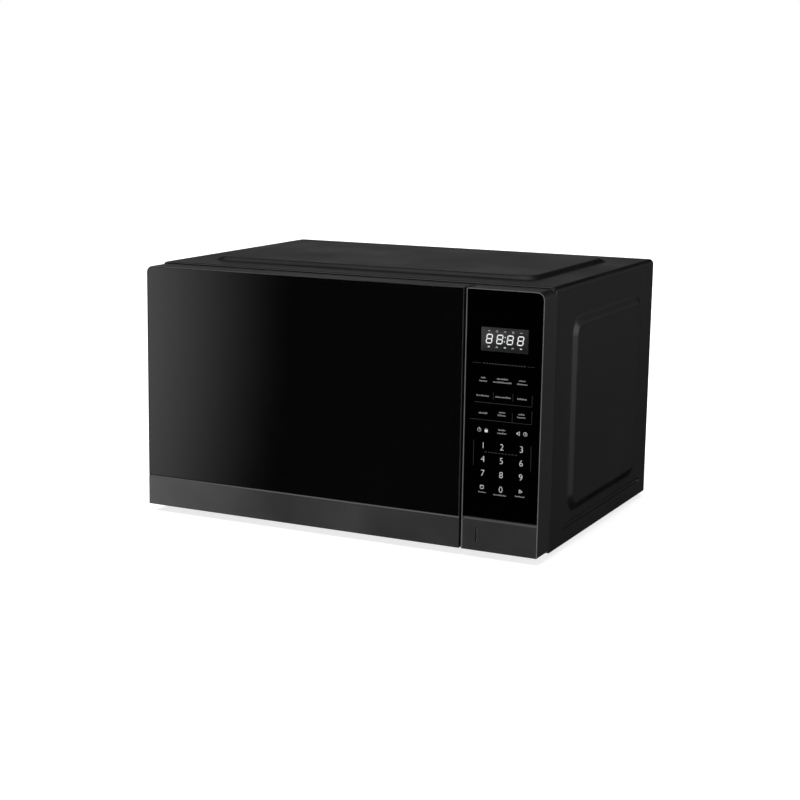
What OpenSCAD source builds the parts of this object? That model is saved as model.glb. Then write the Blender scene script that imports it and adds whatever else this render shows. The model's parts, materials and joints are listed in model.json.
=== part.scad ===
// Countertop microwave oven with a side-hinged glass door, a touch control panel
// and a push-button door release. The origin is on the surface that the feet stand
// on, below the middle of the overall box. The front faces -Y and up is +Z.

/* [Front] */
// Width of the front
front_w = 513; // [510:1:518]
// Height of the door and the control panel
front_h = 297; // [295:1:299]
// Width of the door
door_w = 418.6; // [417:0.1:420]
// Depth of the door
door_d = 33.5; // [33:0.5:34]
// Gap between the shut door and the chassis
door_gap = 2; // [1.8:0.1:2.5]
// Radius of the two upper outer corners of the front
corner_r = 9; // [7:0.5:10]
// Width of the thin rim around the glass
rim = 1; // [0.8:0.1:1.4]
// Height of the dark trim band along the foot of the door
band_h = 37.2; // [34:0.1:39]
// Height of the door-release button
button_h = 38.8; // [36:0.1:40]
// Travel of the door-release button
button_travel = 5; // [4:0.5:5]

/* [Casing] */
// Thickness of the casing sheet
sheet = 1; // [0.8:0.1:1.2]
// Height of the casing, without the feet
casing_h = 302; // [301:1:304]
// Depth of the casing behind the front
casing_d = 350; // [346:1:352]
// Depth over everything, from the glass to the wall spacers
overall_d = 430; // [426:1:436]
// Height that the pressed fields of the casing stand proud
field_rise = 4.5; // [3:0.5:6]
// Width of the sloping edge of a pressed field
field_run = 12; // [9:1:14]
// Corner radius of a pressed field
field_r = 24; // [20:1:28]
// Height of the feet below the casing
foot_h = 6; // [5:1:9]

/* [Cavity] */
// Width inside the cooking cavity
cavity_w = 350; // [346:1:352]
// Height inside the cooking cavity
cavity_h = 232; // [228:1:233]
// Depth inside the cooking cavity
cavity_d = 360; // [354:1:362]

/* [Turntable] */
// Radius of the glass tray
tray_r = 157.5; // [150:0.5:165]
// Radius of the circle that the roller wheels run on
track_r = 98; // [94:1:104]
// Radius of the roller wheels
wheel_r = 7.9; // [7.5:0.1:7.9]

/* [Hidden] */
$fn = 48;

// Colours
black_steel = "#1d1e20";
black_glass = "#060607";
dark_trim = "#3a3b3e";
black_plastic = "#161617";
grey_enamel = "#6d7073";
plain_steel = "#a9acb0";
copper = "#b87333";
board_green = "#20603a";

// Front: edges and planes
left = -front_w / 2;
right = front_w / 2;
front = -overall_d / 2;
door_right = left + door_w;
door_back = front + door_d;
panel_left = door_right + 2.9;
face = door_back + door_gap;
bezel_z = foot_h + 3;
bezel_top = bezel_z + front_h;
band_top = bezel_z + band_h;
button_top = bezel_z + button_h;
button_depth = 8;
button_seat = front + button_depth + button_travel + 1;
glass_face = front + 0.4;
door_glass_back = glass_face + 4;
panel_glass_back = glass_face + 2;

// Casing: planes
case_top = foot_h + casing_h;
rear = face + casing_d;
back_y = rear - 2 * sheet;
wall = front + overall_d;

// Cavity: inner faces
cav_l = left + 31.5;
cav_r = cav_l + cavity_w;
cav_z = foot_h + 34;
cav_top = cav_z + cavity_h;
cav_front = face + sheet;
cav_rear = cav_front + cavity_d;
cav_round = 10;
turn = [(cav_l + cav_r) / 2, (cav_front + cav_rear) / 2];

// Bay beside the cavity that holds the electrics
bay_l = cav_r + sheet;
bay_x = bay_l + 64;
floor_z = foot_h + 1 + sheet;
bulge_y = wall - 20;

// Door hinge: vertical axis and its pins
hinge_edge_r = 10;
hinge_axis = [left + hinge_edge_r, door_back - hinge_edge_r];
pin_r = 3;
pin_fit = 0.05;
arm_t = 2.5;
upper_arm_z = bezel_top - 9.5;
lower_arm_z = bezel_z + 7;

// Latch: bar in the door with two hooks, and the lever that presses it down
hook_x = [145.5, 150.5];
hook_z = [79, 219];
hook_tip = face + 23.5;
slot_x = [143, 154.5];
lever = [face + 19.5, hook_z[0] + 22];
lever_x = [132, 182];
rod_x_span = [175, 181];
rod_tip_r = 2.5;
rod_tip = [lever.x - rod_tip_r * 2 - 1, lever.y - 10];

// Turntable
tray_z = cav_z + 2 * wheel_r + 0.2;
axle_z = cav_z + wheel_r + 0.1;
axle_r = 2;
shaft_r = 3.5;

// Fan and magnetron
fan = [bay_x, 190];
fan_y = rear - 46.5;
fan_r = 47;
tube = [22, 180];
guide_x = bay_l + 32;

// ---------------------------------------------------------------- helpers

// Block between two opposite corners
module box(a, b) {
    translate(a) cube(b - a);
}

// Outline drawn in (y, z), given thickness along X
module along_x(x0, x1) {
    translate([x0, 0, 0]) rotate([90, 0, 90]) linear_extrude(x1 - x0) children();
}

// Outline drawn in (x, z), given thickness along Y
module along_y(y0, y1) {
    translate([0, y1, 0]) rotate([90, 0, 0]) linear_extrude(y1 - y0) children();
}

// Outline drawn in (x, y), given thickness along Z
module along_z(z0, z1) {
    translate([0, 0, z0]) linear_extrude(z1 - z0) children();
}

// Round rods that start at p and run along an axis
module rod_x(p, r, l) {
    translate(p) rotate([0, 90, 0]) cylinder(r = r, h = l);
}

module rod_y(p, r, l) {
    translate(p) rotate([-90, 0, 0]) cylinder(r = r, h = l);
}

module rod_z(p, r, l) {
    translate(p) cylinder(r = r, h = l);
}

// Rectangle from corner a to corner b with a radius for each corner, in the order
// low left, low right, high right, high left
module rect4(a, b, r) {
    polygon([
        [a.x + r[0], a.y], [b.x - r[1], a.y], [b.x, a.y + r[1]], [b.x, b.y - r[2]],
        [b.x - r[2], b.y], [a.x + r[3], b.y], [a.x, b.y - r[3]], [a.x, a.y + r[0]]
    ]);
    translate([a.x + r[0], a.y + r[0]]) circle(r[0]);
    translate([b.x - r[1], a.y + r[1]]) circle(r[1]);
    translate([b.x - r[2], b.y - r[2]]) circle(r[2]);
    translate([a.x + r[3], b.y - r[3]]) circle(r[3]);
}

// Rectangle with the same radius at all four corners
module rrect(a, b, r) {
    rect4(a, b, [r, r, r, r]);
}

// Straight slot with round ends between two points on one level
module slot(a, b, r) {
    translate([a.x, a.y - r]) square([b.x - a.x, 2 * r]);
    translate(a) circle(r);
    translate(b) circle(r);
}

// Pressed field on z = 0: a raised plateau with sloping edges and round corners
module plateau(a, b) {
    inset = [field_run, field_run];
    hull() {
        linear_extrude(0.01) rrect(a, b, field_r, $fn = 32);
        translate([0, 0, field_rise + 0.5 - 0.01])
            linear_extrude(0.01) rrect(a + inset, b - inset, field_r - field_run, $fn = 32);
    }
}

// Open coil of round wire that stands on z = 0
module coil(r, wire, turns, h) {
    steps = turns * 10;
    sides = 6;
    ring = [
        for (i = [0 : steps], j = [0 : sides - 1])
            let (q = r + wire * cos(360 / sides * j))
            [
                q * cos(36 * i), q * sin(36 * i),
                wire + (h - 2 * wire) * i / steps + wire * sin(360 / sides * j)
            ]
    ];
    skin = [
        for (i = [0 : steps - 1], j = [0 : sides - 1])
            let (k = (j + 1) % sides, low = i * sides, high = low + sides)
            each [[low + j, high + k, low + k], [low + j, high + j, high + k]]
    ];
    start = [for (j = [0 : sides - 1]) j];
    end = [for (j = [sides - 1 : -1 : 0]) steps * sides + j];
    polyhedron(ring, concat(skin, [start, end]));
}

// Insulated wire through a list of points
module wire(path, r) {
    for (i = [0 : len(path) - 2]) {
        d = path[i + 1] - path[i];
        translate(path[i])
            rotate([0, acos(d.z / norm(d)), atan2(d.y, d.x)])
                cylinder(r = r, h = norm(d), $fn = 16);
    }
    for (i = [1 : len(path) - 2])
        translate(path[i]) sphere(r * 1.1, $fn = 16);
}

// Small hexagonal vent hole in each place of a grid, cut along the local Z axis
module vents(columns, rows, pitch, r, depth) {
    for (i = [0 : columns - 1], j = [0 : rows - 1])
        translate([i * pitch, j * pitch, 0]) cylinder(r = r, h = depth, $fn = 6);
}

// ---------------------------------------------------------------- casing

side_field = [[-126, cav_z - 0.5], [123, 270]];
top_field = [[-218, -138], [218, 123]];
side_bead_z = foot_h + 20;
side_bead_y = [-133, 141];
bead_r = 3.75;
flange_w = 12;
casing_screw_places = [
    for (side = [-1, 1], z = [60, 250]) [side * (right - 7), z],
    for (side = [-1, 1]) [side * 150, case_top - 7]
];

// Puts a field drawn on z = 0 on the two sides and the top, sunk by `sink`
module on_casing(sink) {
    translate([right - 0.5 - sink, 0, 0]) rotate([90, 0, 90]) plateau(side_field[0], side_field[1]);
    translate([left + 0.5 + sink, 0, 0]) mirror([1, 0, 0])
        rotate([90, 0, 90]) plateau(side_field[0], side_field[1]);
    translate([0, 0, case_top - 0.5 - sink]) plateau(top_field[0], top_field[1]);
}

// Straight bead pressed into each side, as the tool that presses it
module side_beads(x0, x1, r) {
    for (side = [0, 1])
        mirror([side, 0, 0])
            along_x(x0, x1)
                slot([side_bead_y[0], side_bead_z], [side_bead_y[1], side_bead_z], r);
}

module casing_section(inset) {
    rect4([left + inset, foot_h + inset], [right - inset, case_top - inset],
          [1.5, 1.5, 6 - inset, 6 - inset]);
}

module outer_casing() {
    color(black_steel)
    difference() {
        union() {
            along_y(face, rear) casing_section(0);
            on_casing(0);
        }
        on_casing(sheet);
        difference() {
            along_y(face - 1, rear - sheet) casing_section(sheet);
            side_beads(right - 3.5 * sheet, right, bead_r + sheet);
        }
        side_beads(right - 2.5 * sheet, right + 1, bead_r);
        box([left + flange_w, face - 1, foot_h - 1], [right - flange_w, rear + 1, foot_h + sheet + 1]);
        along_y(rear - 2, rear + 1)
            rrect([left + flange_w, foot_h - 20], [right - flange_w, case_top - flange_w], 4);
        for (p = casing_screw_places)
            rod_y([p.x, rear - 2, p.y], 2.1, 3);
    }
}

foot_places = [for (x = [-200, 200], y = [-140, 130]) [x, y]];

module base_plate() {
    low = foot_h + sheet;
    color(plain_steel)
    difference() {
        union() {
            box([left + 2, cav_front, low], [right - 2, back_y, floor_z]);
            box([left + 36, cav_front, low], [right - 8, cav_front + sheet, low + 12]);
            box([left + 8, back_y - sheet, low], [right - 8, back_y, low + 12]);
        }
        for (p = foot_places)
            rod_z([p.x, p.y, low - 1], 3, 4);
        // air inlets under the bay
        for (i = [0 : 6])
            box([bay_l + 20, -112 + 18 * i, low - 1], [bay_l + 100, -103 + 18 * i, floor_z + 1]);
        // knock-out under the turntable motor, held by four bridges
        translate([turn.x, turn.y, low - 1])
            difference() {
                cylinder(r = 34, h = 4);
                translate([0, 0, -1]) cylinder(r = 33, h = 6);
                for (a = [45, 135])
                    rotate(a) box([-40, -4, -2], [40, 4, 6]);
            }
    }
}

module back_panel() {
    bulge_l = cav_l - 18;
    bulge_r = cav_r + 18;
    bulge_z = [foot_h + 16, cav_top + 18];
    grille_pitch = 9;
    color(plain_steel)
    difference() {
        union() {
            along_y(back_y, rear - sheet)
                rect4([left + 2, floor_z], [right - 2, case_top - 2], [1, 1, 4, 4]);
            along_y(back_y, bulge_y) rrect([bulge_l, bulge_z[0]], [bulge_r, bulge_z[1]], 14);
        }
        along_y(back_y - 1, bulge_y - sheet)
            rrect([bulge_l + sheet, bulge_z[0] + sheet], [bulge_r - sheet, bulge_z[1] - sheet], 13);
        for (i = [-5 : 5]) {
            half = sqrt(52 * 52 - pow(i * grille_pitch, 2)) - 6;
            z = fan.y + i * grille_pitch;
            box([fan.x + 8 - half, back_y - 1, z - 2.5], [fan.x + 8 + half, rear + 1, z + 2.5]);
        }
        for (p = casing_screw_places)
            rod_y([p.x, back_y - 1, p.y], 2.1, 4);
        rod_y([inlet.x, back_y - 1, inlet.y], 7, 4);
    }
}

module wall_spacers() {
    color(black_plastic)
    for (x = [turn.x - 110, turn.x + 80])
        difference() {
            along_y(bulge_y, wall) rrect([x, 240], [x + 30, 270], 6);
            for (z = [246, 258])
                box([x + 6, bulge_y + 6, z], [x + 24, wall + 1, z + 6]);
        }
}

module feet() {
    color(black_plastic)
    for (p = foot_places)
        translate([p.x, p.y, 0]) {
            cylinder(r1 = 9, r2 = 11, h = 1.5);
            translate([0, 0, 1.5]) cylinder(r = 11, h = foot_h + sheet - 1.5);
            cylinder(r = 2.9, h = foot_h + 6);
            translate([0, 0, floor_z]) cylinder(r1 = 4.2, r2 = 2.9, h = 3);
        }
}

module casing_screws() {
    color(plain_steel)
    for (p = casing_screw_places)
        difference() {
            union() {
                rod_y([p.x, rear, p.y], 4, 2.4);
                rod_y([p.x, rear - 10, p.y], 2, 10.5);
            }
            box([p.x - 2.6, rear + 1.4, p.y - 0.5], [p.x + 2.6, rear + 3, p.y + 0.5]);
            box([p.x - 0.5, rear + 1.4, p.y - 2.6], [p.x + 0.5, rear + 3, p.y + 2.6]);
        }
}

// Place of the mains cord inlet in the back panel
inlet = [225, 45];
inlet_r = 4.5;

module cord_inlet_bush() {
    color(black_plastic)
    difference() {
        union() {
            rod_y([inlet.x, back_y - 6, inlet.y], 6.9, 12);
            rod_y([inlet.x, rear - sheet, inlet.y], 10.5, 4);
            rod_y([inlet.x, back_y - 6, inlet.y], 9.5, 6);
        }
        rod_y([inlet.x, back_y - 7, inlet.y], inlet_r, 14);
    }
}

// ---------------------------------------------------------------- cavity

guide_z = [145, 215];
lamp = [-112, 217];

module cavity() {
    color(grey_enamel)
    difference() {
        along_y(cav_front, cav_rear + sheet)
            rrect([cav_l - sheet, cav_z - sheet], [cav_r + sheet, cav_top + sheet], cav_round + sheet);
        along_y(cav_front - 1, cav_rear) rrect([cav_l, cav_z], [cav_r, cav_top], cav_round);
        rod_z([turn.x, turn.y, cav_z - 3], 7, 5);
        // opening of the waveguide
        box([cav_r - 1, -25, guide_z[0] + 10], [cav_r + 3, 65, guide_z[1] - 10]);
        // lamp vents and air vents in the right wall
        translate([cav_r - 1, lamp.x - 12, lamp.y - 12]) rotate([90, 0, 90]) vents(5, 5, 6, 2, 4);
        translate([cav_r - 1, -74, 160]) rotate([90, 0, 90]) vents(5, 8, 6, 2, 4);
        // steam vents in the left wall
        translate([cav_l - 3, 70, 225]) rotate([90, 0, 90]) vents(10, 4, 6, 2, 4);
        // slots under the grill
        for (x = [0 : 12], y = [0 : 5])
            box([turn.x - 129 + x * 20, -28 + y * 15, cav_top - 1],
                [turn.x - 115 + x * 20, -24.6 + y * 15, cav_top + 3]);
    }
}

module front_plate() {
    color(grey_enamel)
    difference() {
        along_y(face, cav_front)
            rect4([left + 2.2, foot_h + 3.3], [right - 2.2, case_top - 2.3], [1, 1, 4, 4]);
        along_y(face - 1, cav_front + 1) rrect([cav_l, cav_z], [cav_r, cav_top], cav_round);
        along_y(face - 1, cav_front + 1) rrect([panel_left + 7, 20], [right - 6.5, 295], 4);
        for (z = hook_z)
            box([slot_x[0], face - 1, z - 9.5], [slot_x[1], cav_front + 1, z + 17.4]);
        for (z = [upper_arm_z, lower_arm_z])
            box([hinge_axis.x - 6, face - 1, z - 0.3], [hinge_axis.x + 6, cav_front + 1, z + arm_t + 0.3]);
        for (p = hinge_screw_places)
            rod_y([p.x, face - 1, p.y], 2.1, 4);
    }
}

module mica_cover() {
    color("#c9bfa8")
    along_x(cav_r - 0.8, cav_r) rrect([-32, guide_z[0] + 3], [72, guide_z[1] - 3], 5);
}

module waveguide() {
    color(plain_steel)
    difference() {
        box([bay_l, -30, guide_z[0]], [guide_x, 70, guide_z[1]]);
        box([bay_l - 1, -30 + sheet, guide_z[0] + sheet],
            [guide_x - sheet, 70 - sheet, guide_z[1] - sheet]);
        rod_x([guide_x - 3, tube.x, tube.y], 10, 5);
    }
}

// ---------------------------------------------------------------- magnetron

yoke_y = [tube.x - 40, tube.x + 40];
yoke_z = [tube.y - 38, tube.y + 38];
yoke_x = [guide_x, guide_x + 52];
magnet_t = 12;
anode_x = [yoke_x[0] + 2 + magnet_t, yoke_x[1] - 2 - magnet_t];

module magnetron_yoke() {
    color(plain_steel)
    difference() {
        box([yoke_x[0], yoke_y[0], yoke_z[0]], [yoke_x[1], yoke_y[1], yoke_z[1]]);
        box([yoke_x[0] + 2, yoke_y[0] - 1, yoke_z[0] + 2], [yoke_x[1] - 2, yoke_y[1] + 1, yoke_z[1] - 2]);
        rod_x([yoke_x[0] - 1, tube.x, tube.y], 10, 60);
    }
}

module magnetron_magnets() {
    color("#4a4a4d")
    for (x = [yoke_x[0] + 2, anode_x[1]])
        difference() {
            rod_x([x, tube.x, tube.y], 27, magnet_t);
            rod_x([x - 1, tube.x, tube.y], 10, magnet_t + 2);
        }
}

module magnetron_tube() {
    color(copper) {
        rod_x([anode_x[0], tube.x, tube.y], 19, anode_x[1] - anode_x[0]);
        rod_x([bay_l + 12, tube.x, tube.y], 8.5, anode_x[0] - bay_l - 11);
        rod_x([anode_x[1] - 1, tube.x, tube.y], 8.5, 22);
    }
}

module magnetron_fins() {
    fins = 6;
    pitch = (anode_x[1] - anode_x[0]) / fins;
    color("silver")
    for (i = [0 : fins - 1])
        difference() {
            translate([anode_x[0] + (i + 0.5) * pitch - 0.4, 0, 0])
                box([0, yoke_y[0] + 2, yoke_z[0] + 2], [0.8, yoke_y[1] - 2, yoke_z[1] - 2]);
            rod_x([anode_x[0], tube.x, tube.y], 19, anode_x[1] - anode_x[0]);
        }
}

module magnetron_filter_box() {
    x = yoke_x[1];
    color(plain_steel) {
        difference() {
            box([x, tube.x - 32, tube.y - 30], [x + 27, tube.x + 32, tube.y + 30]);
            box([x - 1, tube.x - 31, tube.y - 29], [x + 26, tube.x + 31, tube.y + 29]);
        }
        difference() {
            box([x + 4, tube.x - 12, tube.y - 42], [x + 22, tube.x + 12, tube.y - 30]);
            box([x + 6, tube.x - 10, tube.y - 43], [x + 20, tube.x + 10, tube.y - 32]);
        }
        for (y = [-5, 5])
            box([x + 12.6, tube.x + y - 3, tube.y - 40], [x + 13.4, tube.x + y + 3, tube.y - 31]);
    }
}

// ---------------------------------------------------------------- power supply

board_a = [bay_l + 10, -64, floor_z + 14];
board_b = [bay_l + 116, 104, floor_z + 15.6];

module inverter_tray() {
    low = [board_a.x - 3, board_a.y - 3, floor_z];
    high = [board_b.x + 3, board_b.y + 3, board_a.z];
    color("#e8e6df")
    difference() {
        union() {
            box(low, [high.x, high.y, floor_z + 2]);
            for (x = [board_a.x + 5, board_b.x - 5], y = [board_a.y + 5, board_b.y - 5])
                rod_z([x, y, floor_z], 4, high.z - floor_z);
        }
        for (i = [0 : 4])
            box([low.x + 14, low.y + 20 + 28 * i, floor_z - 1],
                [high.x - 14, low.y + 34 + 28 * i, floor_z + 3]);
    }
}

module inverter_board() {
    color(board_green)
    box(board_a, board_b);
}

module inverter_transformer() {
    z = board_b.z;
    x = board_a.x + 14;
    color("#54565a") {
        difference() {
            box([x, 34, z], [x + 56, 78, z + 44]);
            box([x + 9, 33, z + 9], [x + 47, 79, z + 35]);
        }
        difference() {
            rod_x([x + 9, 56, z + 22], 21, 38);
            for (side = [0, 1])
                rod_x([x + 8 + 38 * side, 56, z + 22], 14, 2);
        }
    }
}

module inverter_heat_sinks() {
    z = board_b.z;
    color("silver")
    for (y = [-52, -12]) {
        box([board_a.x + 8, y, z], [board_a.x + 68, y + 3, z + 46]);
        for (i = [0 : 5])
            box([board_a.x + 8 + 11.4 * i, y + 3, z + 4], [board_a.x + 10 + 11.4 * i, y + 24, z + 46]);
    }
}

module inverter_capacitors() {
    z = board_b.z;
    x = board_b.x - 18;
    color("#2b3f6b") {
        rod_z([x, -40, z], 12, 34);
        rod_z([x, -10, z], 12, 34);
        box([x - 12, 12, z], [x + 12, 26, z + 24]);
        box([x - 12, 36, z], [x + 12, 50, z + 24]);
    }
}

module filter_board() {
    a = [bay_l + 12, 114, floor_z + 8];
    color("#8a6a3a") {
        box(a, a + [70, 38, 1.6]);
        for (x = [5, 65], y = [5, 33])
            rod_z([a.x + x, a.y + y, floor_z], 3, 8.2);
    }
    color(copper)
    translate([a.x + 18, a.y + 19, a.z + 1.6])
        rotate_extrude() translate([10, 5]) circle(5, $fn = 24);
    color("#e8e6df") {
        rod_x([a.x + 36, a.y + 8, a.z + 5], 3.2, 26);
        box([a.x + 38, a.y + 5, a.z + 1.6], [a.x + 42, a.y + 11, a.z + 5]);
        box([a.x + 56, a.y + 5, a.z + 1.6], [a.x + 60, a.y + 11, a.z + 5]);
        box([a.x + 38, a.y + 18, a.z + 1.6], [a.x + 62, a.y + 34, a.z + 16]);
    }
}

module thermal_cutout() {
    color("#e8e6df") {
        rod_x([bay_l, 100, 240], 8, 7);
        along_x(bay_l, bay_l + 1) slot([88, 240], [112, 240], 5);
    }
    color(plain_steel)
    for (y = [96, 104])
        box([bay_l + 7, y - 2.5, 239.5], [bay_l + 14, y + 2.5, 240.3]);
}

// ---------------------------------------------------------------- cooling and light

shroud_y = [fan_y - 4, fan_y + 28];

module fan_shroud() {
    half = 58;
    color(black_plastic)
    difference() {
        box([fan.x - half, shroud_y[0], fan.y - half], [fan.x + half, shroud_y[1], fan.y + half]);
        rod_y([fan.x, shroud_y[0] - 1, fan.y], fan_r + 3, 60);
        difference() {
            box([fan.x - half + 2, shroud_y[0] + 2, fan.y - half + 2],
                [fan.x + half - 2, shroud_y[1] + 1, fan.y + half - 2]);
            rod_y([fan.x, shroud_y[0], fan.y], fan_r + 5, 60);
        }
    }
}

module fan_motor() {
    y = shroud_y[0] + 24;
    color("#54565a")
    difference() {
        union() {
            rod_y([fan.x, y, fan.y], 18, 20);
            for (a = [90, 210, 330])
                translate([fan.x, y + 2, fan.y]) rotate([0, -a, 0])
                    box([16, 0, -3], [fan_r + 4, 3, 3]);
        }
        rod_y([fan.x, y - 1, fan.y], 2 + pin_fit, 16);
    }
}

module fan_blade() {
    y = shroud_y[0] + 2;
    blades = 7;
    color("#e8e6df") {
        rod_y([fan.x, y, fan.y], 14, 19);
        rod_y([fan.x, y + 18, fan.y], 2, 16);
        for (i = [0 : blades - 1])
            translate([fan.x, y + 9.5, fan.y]) rotate([0, i * 360 / blades, 0]) rotate([40, 0, 0])
                box([12, -0.8, -12], [fan_r, 0.8, 12]);
    }
}

module air_guide() {
    low = [bay_l, -84, 142];
    high = [yoke_x[1], yoke_y[0], 222];
    color("#e8e6df")
    difference() {
        box(low, high);
        box([low.x + 2, low.y + 2, low.z + 2], [high.x - 2, high.y + 1, high.z - 2]);
        box([low.x - 1, low.y + 6, low.z + 12], [low.x + 3, low.y + 42, low.z + 66]);
        box([low.x - 1, -32, guide_z[0] - 1], [guide_x + 1, high.y + 1, guide_z[1] + 1]);
    }
}

module lamp_holder() {
    a = [bay_l, lamp.x - 18, lamp.y - 18];
    color(plain_steel)
    difference() {
        box(a, a + [26, 36, 36]);
        box(a + [-1, 1, 1], a + [25, 35, 35]);
        rod_x([a.x + 24, lamp.x, lamp.y], 7, 3);
    }
    color("#e8e6df")
    difference() {
        rod_x([a.x + 26, lamp.x, lamp.y], 9, 10);
        rod_x([a.x + 25, lamp.x, lamp.y], 6.2, 8);
    }
}

module lamp_bulb() {
    globe_r = 8;
    neck = [6, 18];
    color("ivory")
    translate([bay_l + 15, lamp.x, lamp.y]) rotate([0, 90, 0])
        rotate_extrude()
            polygon(concat(
                [[0, -globe_r]],
                [for (a = [-80 : 10 : 40]) [globe_r * cos(a), globe_r * sin(a)]],
                [neck, [0, neck.y]]
            ));
}

// ---------------------------------------------------------------- grill

grill_x = [turn.x - 145, turn.x + 145];
grill_y = [-38, 62];
grill_z = cav_top + sheet;
tube_ys = [-12, 36];

module grill_reflector() {
    color("silver")
    difference() {
        box([grill_x[0], grill_y[0], grill_z], [grill_x[1], grill_y[1], grill_z + 26]);
        box([grill_x[0] + 1, grill_y[0] + 1, grill_z - 1], [grill_x[1] - 1, grill_y[1] - 1, grill_z + 25]);
        for (y = tube_ys)
            rod_x([grill_x[0] - 1, y, grill_z + 13], 8, 300);
    }
}

module grill_tubes() {
    for (y = tube_ys) {
        color("#d8b9a0")
        rod_x([grill_x[0] + 2, y, grill_z + 13], 5.5, grill_x[1] - grill_x[0] - 4);
        color("white")
        for (x = [grill_x[0] - 8, grill_x[1] - 4])
            rod_x([x, y, grill_z + 13], 7.9, 12);
    }
}

// ---------------------------------------------------------------- turntable

hub_r = 9;
hub_top = tray_z - 0.5;

module turntable_motor() {
    color(plain_steel)
    difference() {
        union() {
            rod_z([turn.x, turn.y, cav_z - sheet - 18], 25, 18);
            along_z(cav_z - sheet - 1, cav_z - sheet)
                translate(turn) slot([-31, 0], [31, 0], 5);
            box([turn.x - 9, turn.y + 20, cav_z - sheet - 18], [turn.x + 9, turn.y + 31, cav_z - sheet - 6]);
        }
        rod_z([turn.x, turn.y, cav_z - sheet - 15], shaft_r + pin_fit, 16);
    }
}

module motor_shaft() {
    color("silver")
    difference() {
        rod_z([turn.x, turn.y, cav_z - sheet - 14.8], shaft_r, 24);
        box([turn.x + 2.2, turn.y - 4, cav_z + 2], [turn.x + 5, turn.y + 4, cav_z + 12]);
    }
}

module drive_coupler() {
    color("#e8e6df")
    difference() {
        translate([turn.x, turn.y, 0]) {
            translate([0, 0, cav_z + 1.5]) cylinder(r = 11, h = 5);
            translate([0, 0, cav_z + 1.5]) cylinder(r = hub_r, h = hub_top - cav_z - 1.5);
            for (a = [0, 120, 240])
                rotate(a) box([0, -4, cav_z + 6], [20, 4, hub_top]);
        }
        difference() {
            rod_z([turn.x, turn.y, cav_z + 1], shaft_r, 8.7);
            box([turn.x + 2.2, turn.y - 4, cav_z + 2], [turn.x + 5, turn.y + 4, cav_z + 12]);
        }
    }
}

wheel_angles = [90, 210, 330];
wheel_half = 4;

// Places its children at the turntable's axis, turned to wheel number i
module at_wheel(i) {
    translate([turn.x, turn.y, axle_z]) rotate(wheel_angles[i]) children();
}

module roller_ring() {
    hoop_r = [track_r - 14, track_r - 7];
    color("#2f3133") {
        translate([turn.x, turn.y, axle_z - 2])
            difference() {
                cylinder(r = hoop_r[1], h = 4, $fn = 96);
                translate([0, 0, -1]) cylinder(r = hoop_r[0], h = 6, $fn = 96);
            }
        for (i = [0 : 2])
            at_wheel(i) {
                box([hoop_r[0] + 1, -6, -3.5], [track_r - wheel_half - 0.6, 6, 3.5]);
                rod_x([hoop_r[1] - 2, 0, 0], axle_r, 20);
                rod_x([track_r + wheel_half + 0.6, 0, 0], axle_r + 1.2, 2.5);
            }
    }
}

module roller_wheel(i) {
    color("#d9d7d0")
    at_wheel(i)
        difference() {
            rod_x([track_r - wheel_half, 0, 0], wheel_r, 2 * wheel_half);
            rod_x([track_r - wheel_half - 1, 0, 0], axle_r + pin_fit, 2 * wheel_half + 2);
            difference() {
                rod_x([track_r + wheel_half - 1, 0, 0], wheel_r - 1.6, 2);
                rod_x([track_r + wheel_half - 2, 0, 0], axle_r + 1.6, 4);
            }
        }
}

module roller_wheel_1() { roller_wheel(0); }
module roller_wheel_2() { roller_wheel(1); }
module roller_wheel_3() { roller_wheel(2); }

module glass_tray() {
    color([0.8, 0.88, 0.9, 0.5])
    translate([turn.x, turn.y, tray_z]) {
        rotate_extrude($fn = 120)
            polygon([
                [0, 0], [tray_r - 20, 0], [tray_r - 6, 6], [tray_r, 14],
                [tray_r - 2, 14.5], [tray_r - 8.5, 9.5], [tray_r - 21, 5], [0, 5]
            ]);
        for (a = [60, 180, 300])
            rotate(a) box([13, -3.5, -5.5], [21, 3.5, 0.5]);
    }
}

// ---------------------------------------------------------------- latch and interlock

// Side view of one hook whose arm starts at height z
module hook_outline(z) {
    base_y = hook_tip - 38;
    nose_y = [face + 4.5, face + 12.5];
    polygon([
        [base_y, z], [hook_tip - 2, z], [hook_tip, z + 2], [hook_tip, z + 7],
        [nose_y[1], z + 17], [nose_y[0], z + 17], [nose_y[0], z + 12], [base_y, z + 12]
    ]);
}

latch_z = [60, 250];
latch_y = [front + 11, front + 22];

module latch_hook() {
    color("#e8e6df") {
        difference() {
            box([hook_x[0] - 0.5, latch_y[0], latch_z[0]], [hook_x[1] + 0.5, latch_y[1], latch_z[1]]);
            for (z = [115, 165])
                box([hook_x[0] - 2, latch_y[0] + 3, z], [hook_x[1] + 2, latch_y[1] - 3, z + 34]);
        }
        for (z = hook_z)
            along_x(hook_x[0], hook_x[1]) hook_outline(z);
    }
}

latch_mid = [(hook_x[0] + hook_x[1]) / 2, (latch_y[0] + latch_y[1]) / 2];
spring_seat_z = latch_z[0] - 24;

module latch_spring() {
    color("silver")
    translate([latch_mid.x, latch_mid.y, spring_seat_z + 0.05]) coil(3.4, 0.45, 6, 23.9);
}

// Low corner of each switch, and how far along X its plunger sits
switch_size = [10, 16, 28];
switch_y = hook_tip + 3.6;
switches = [
    [[137, switch_y, hook_z[1] - 6], 8.2], [[149, switch_y, hook_z[1] - 6], 0.2],
    [[143, switch_y, hook_z[0] - 17], 4.2]
];
bracket_walls = [[lever_x[0], lever_x[0] + 3], [161, 164]];

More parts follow.
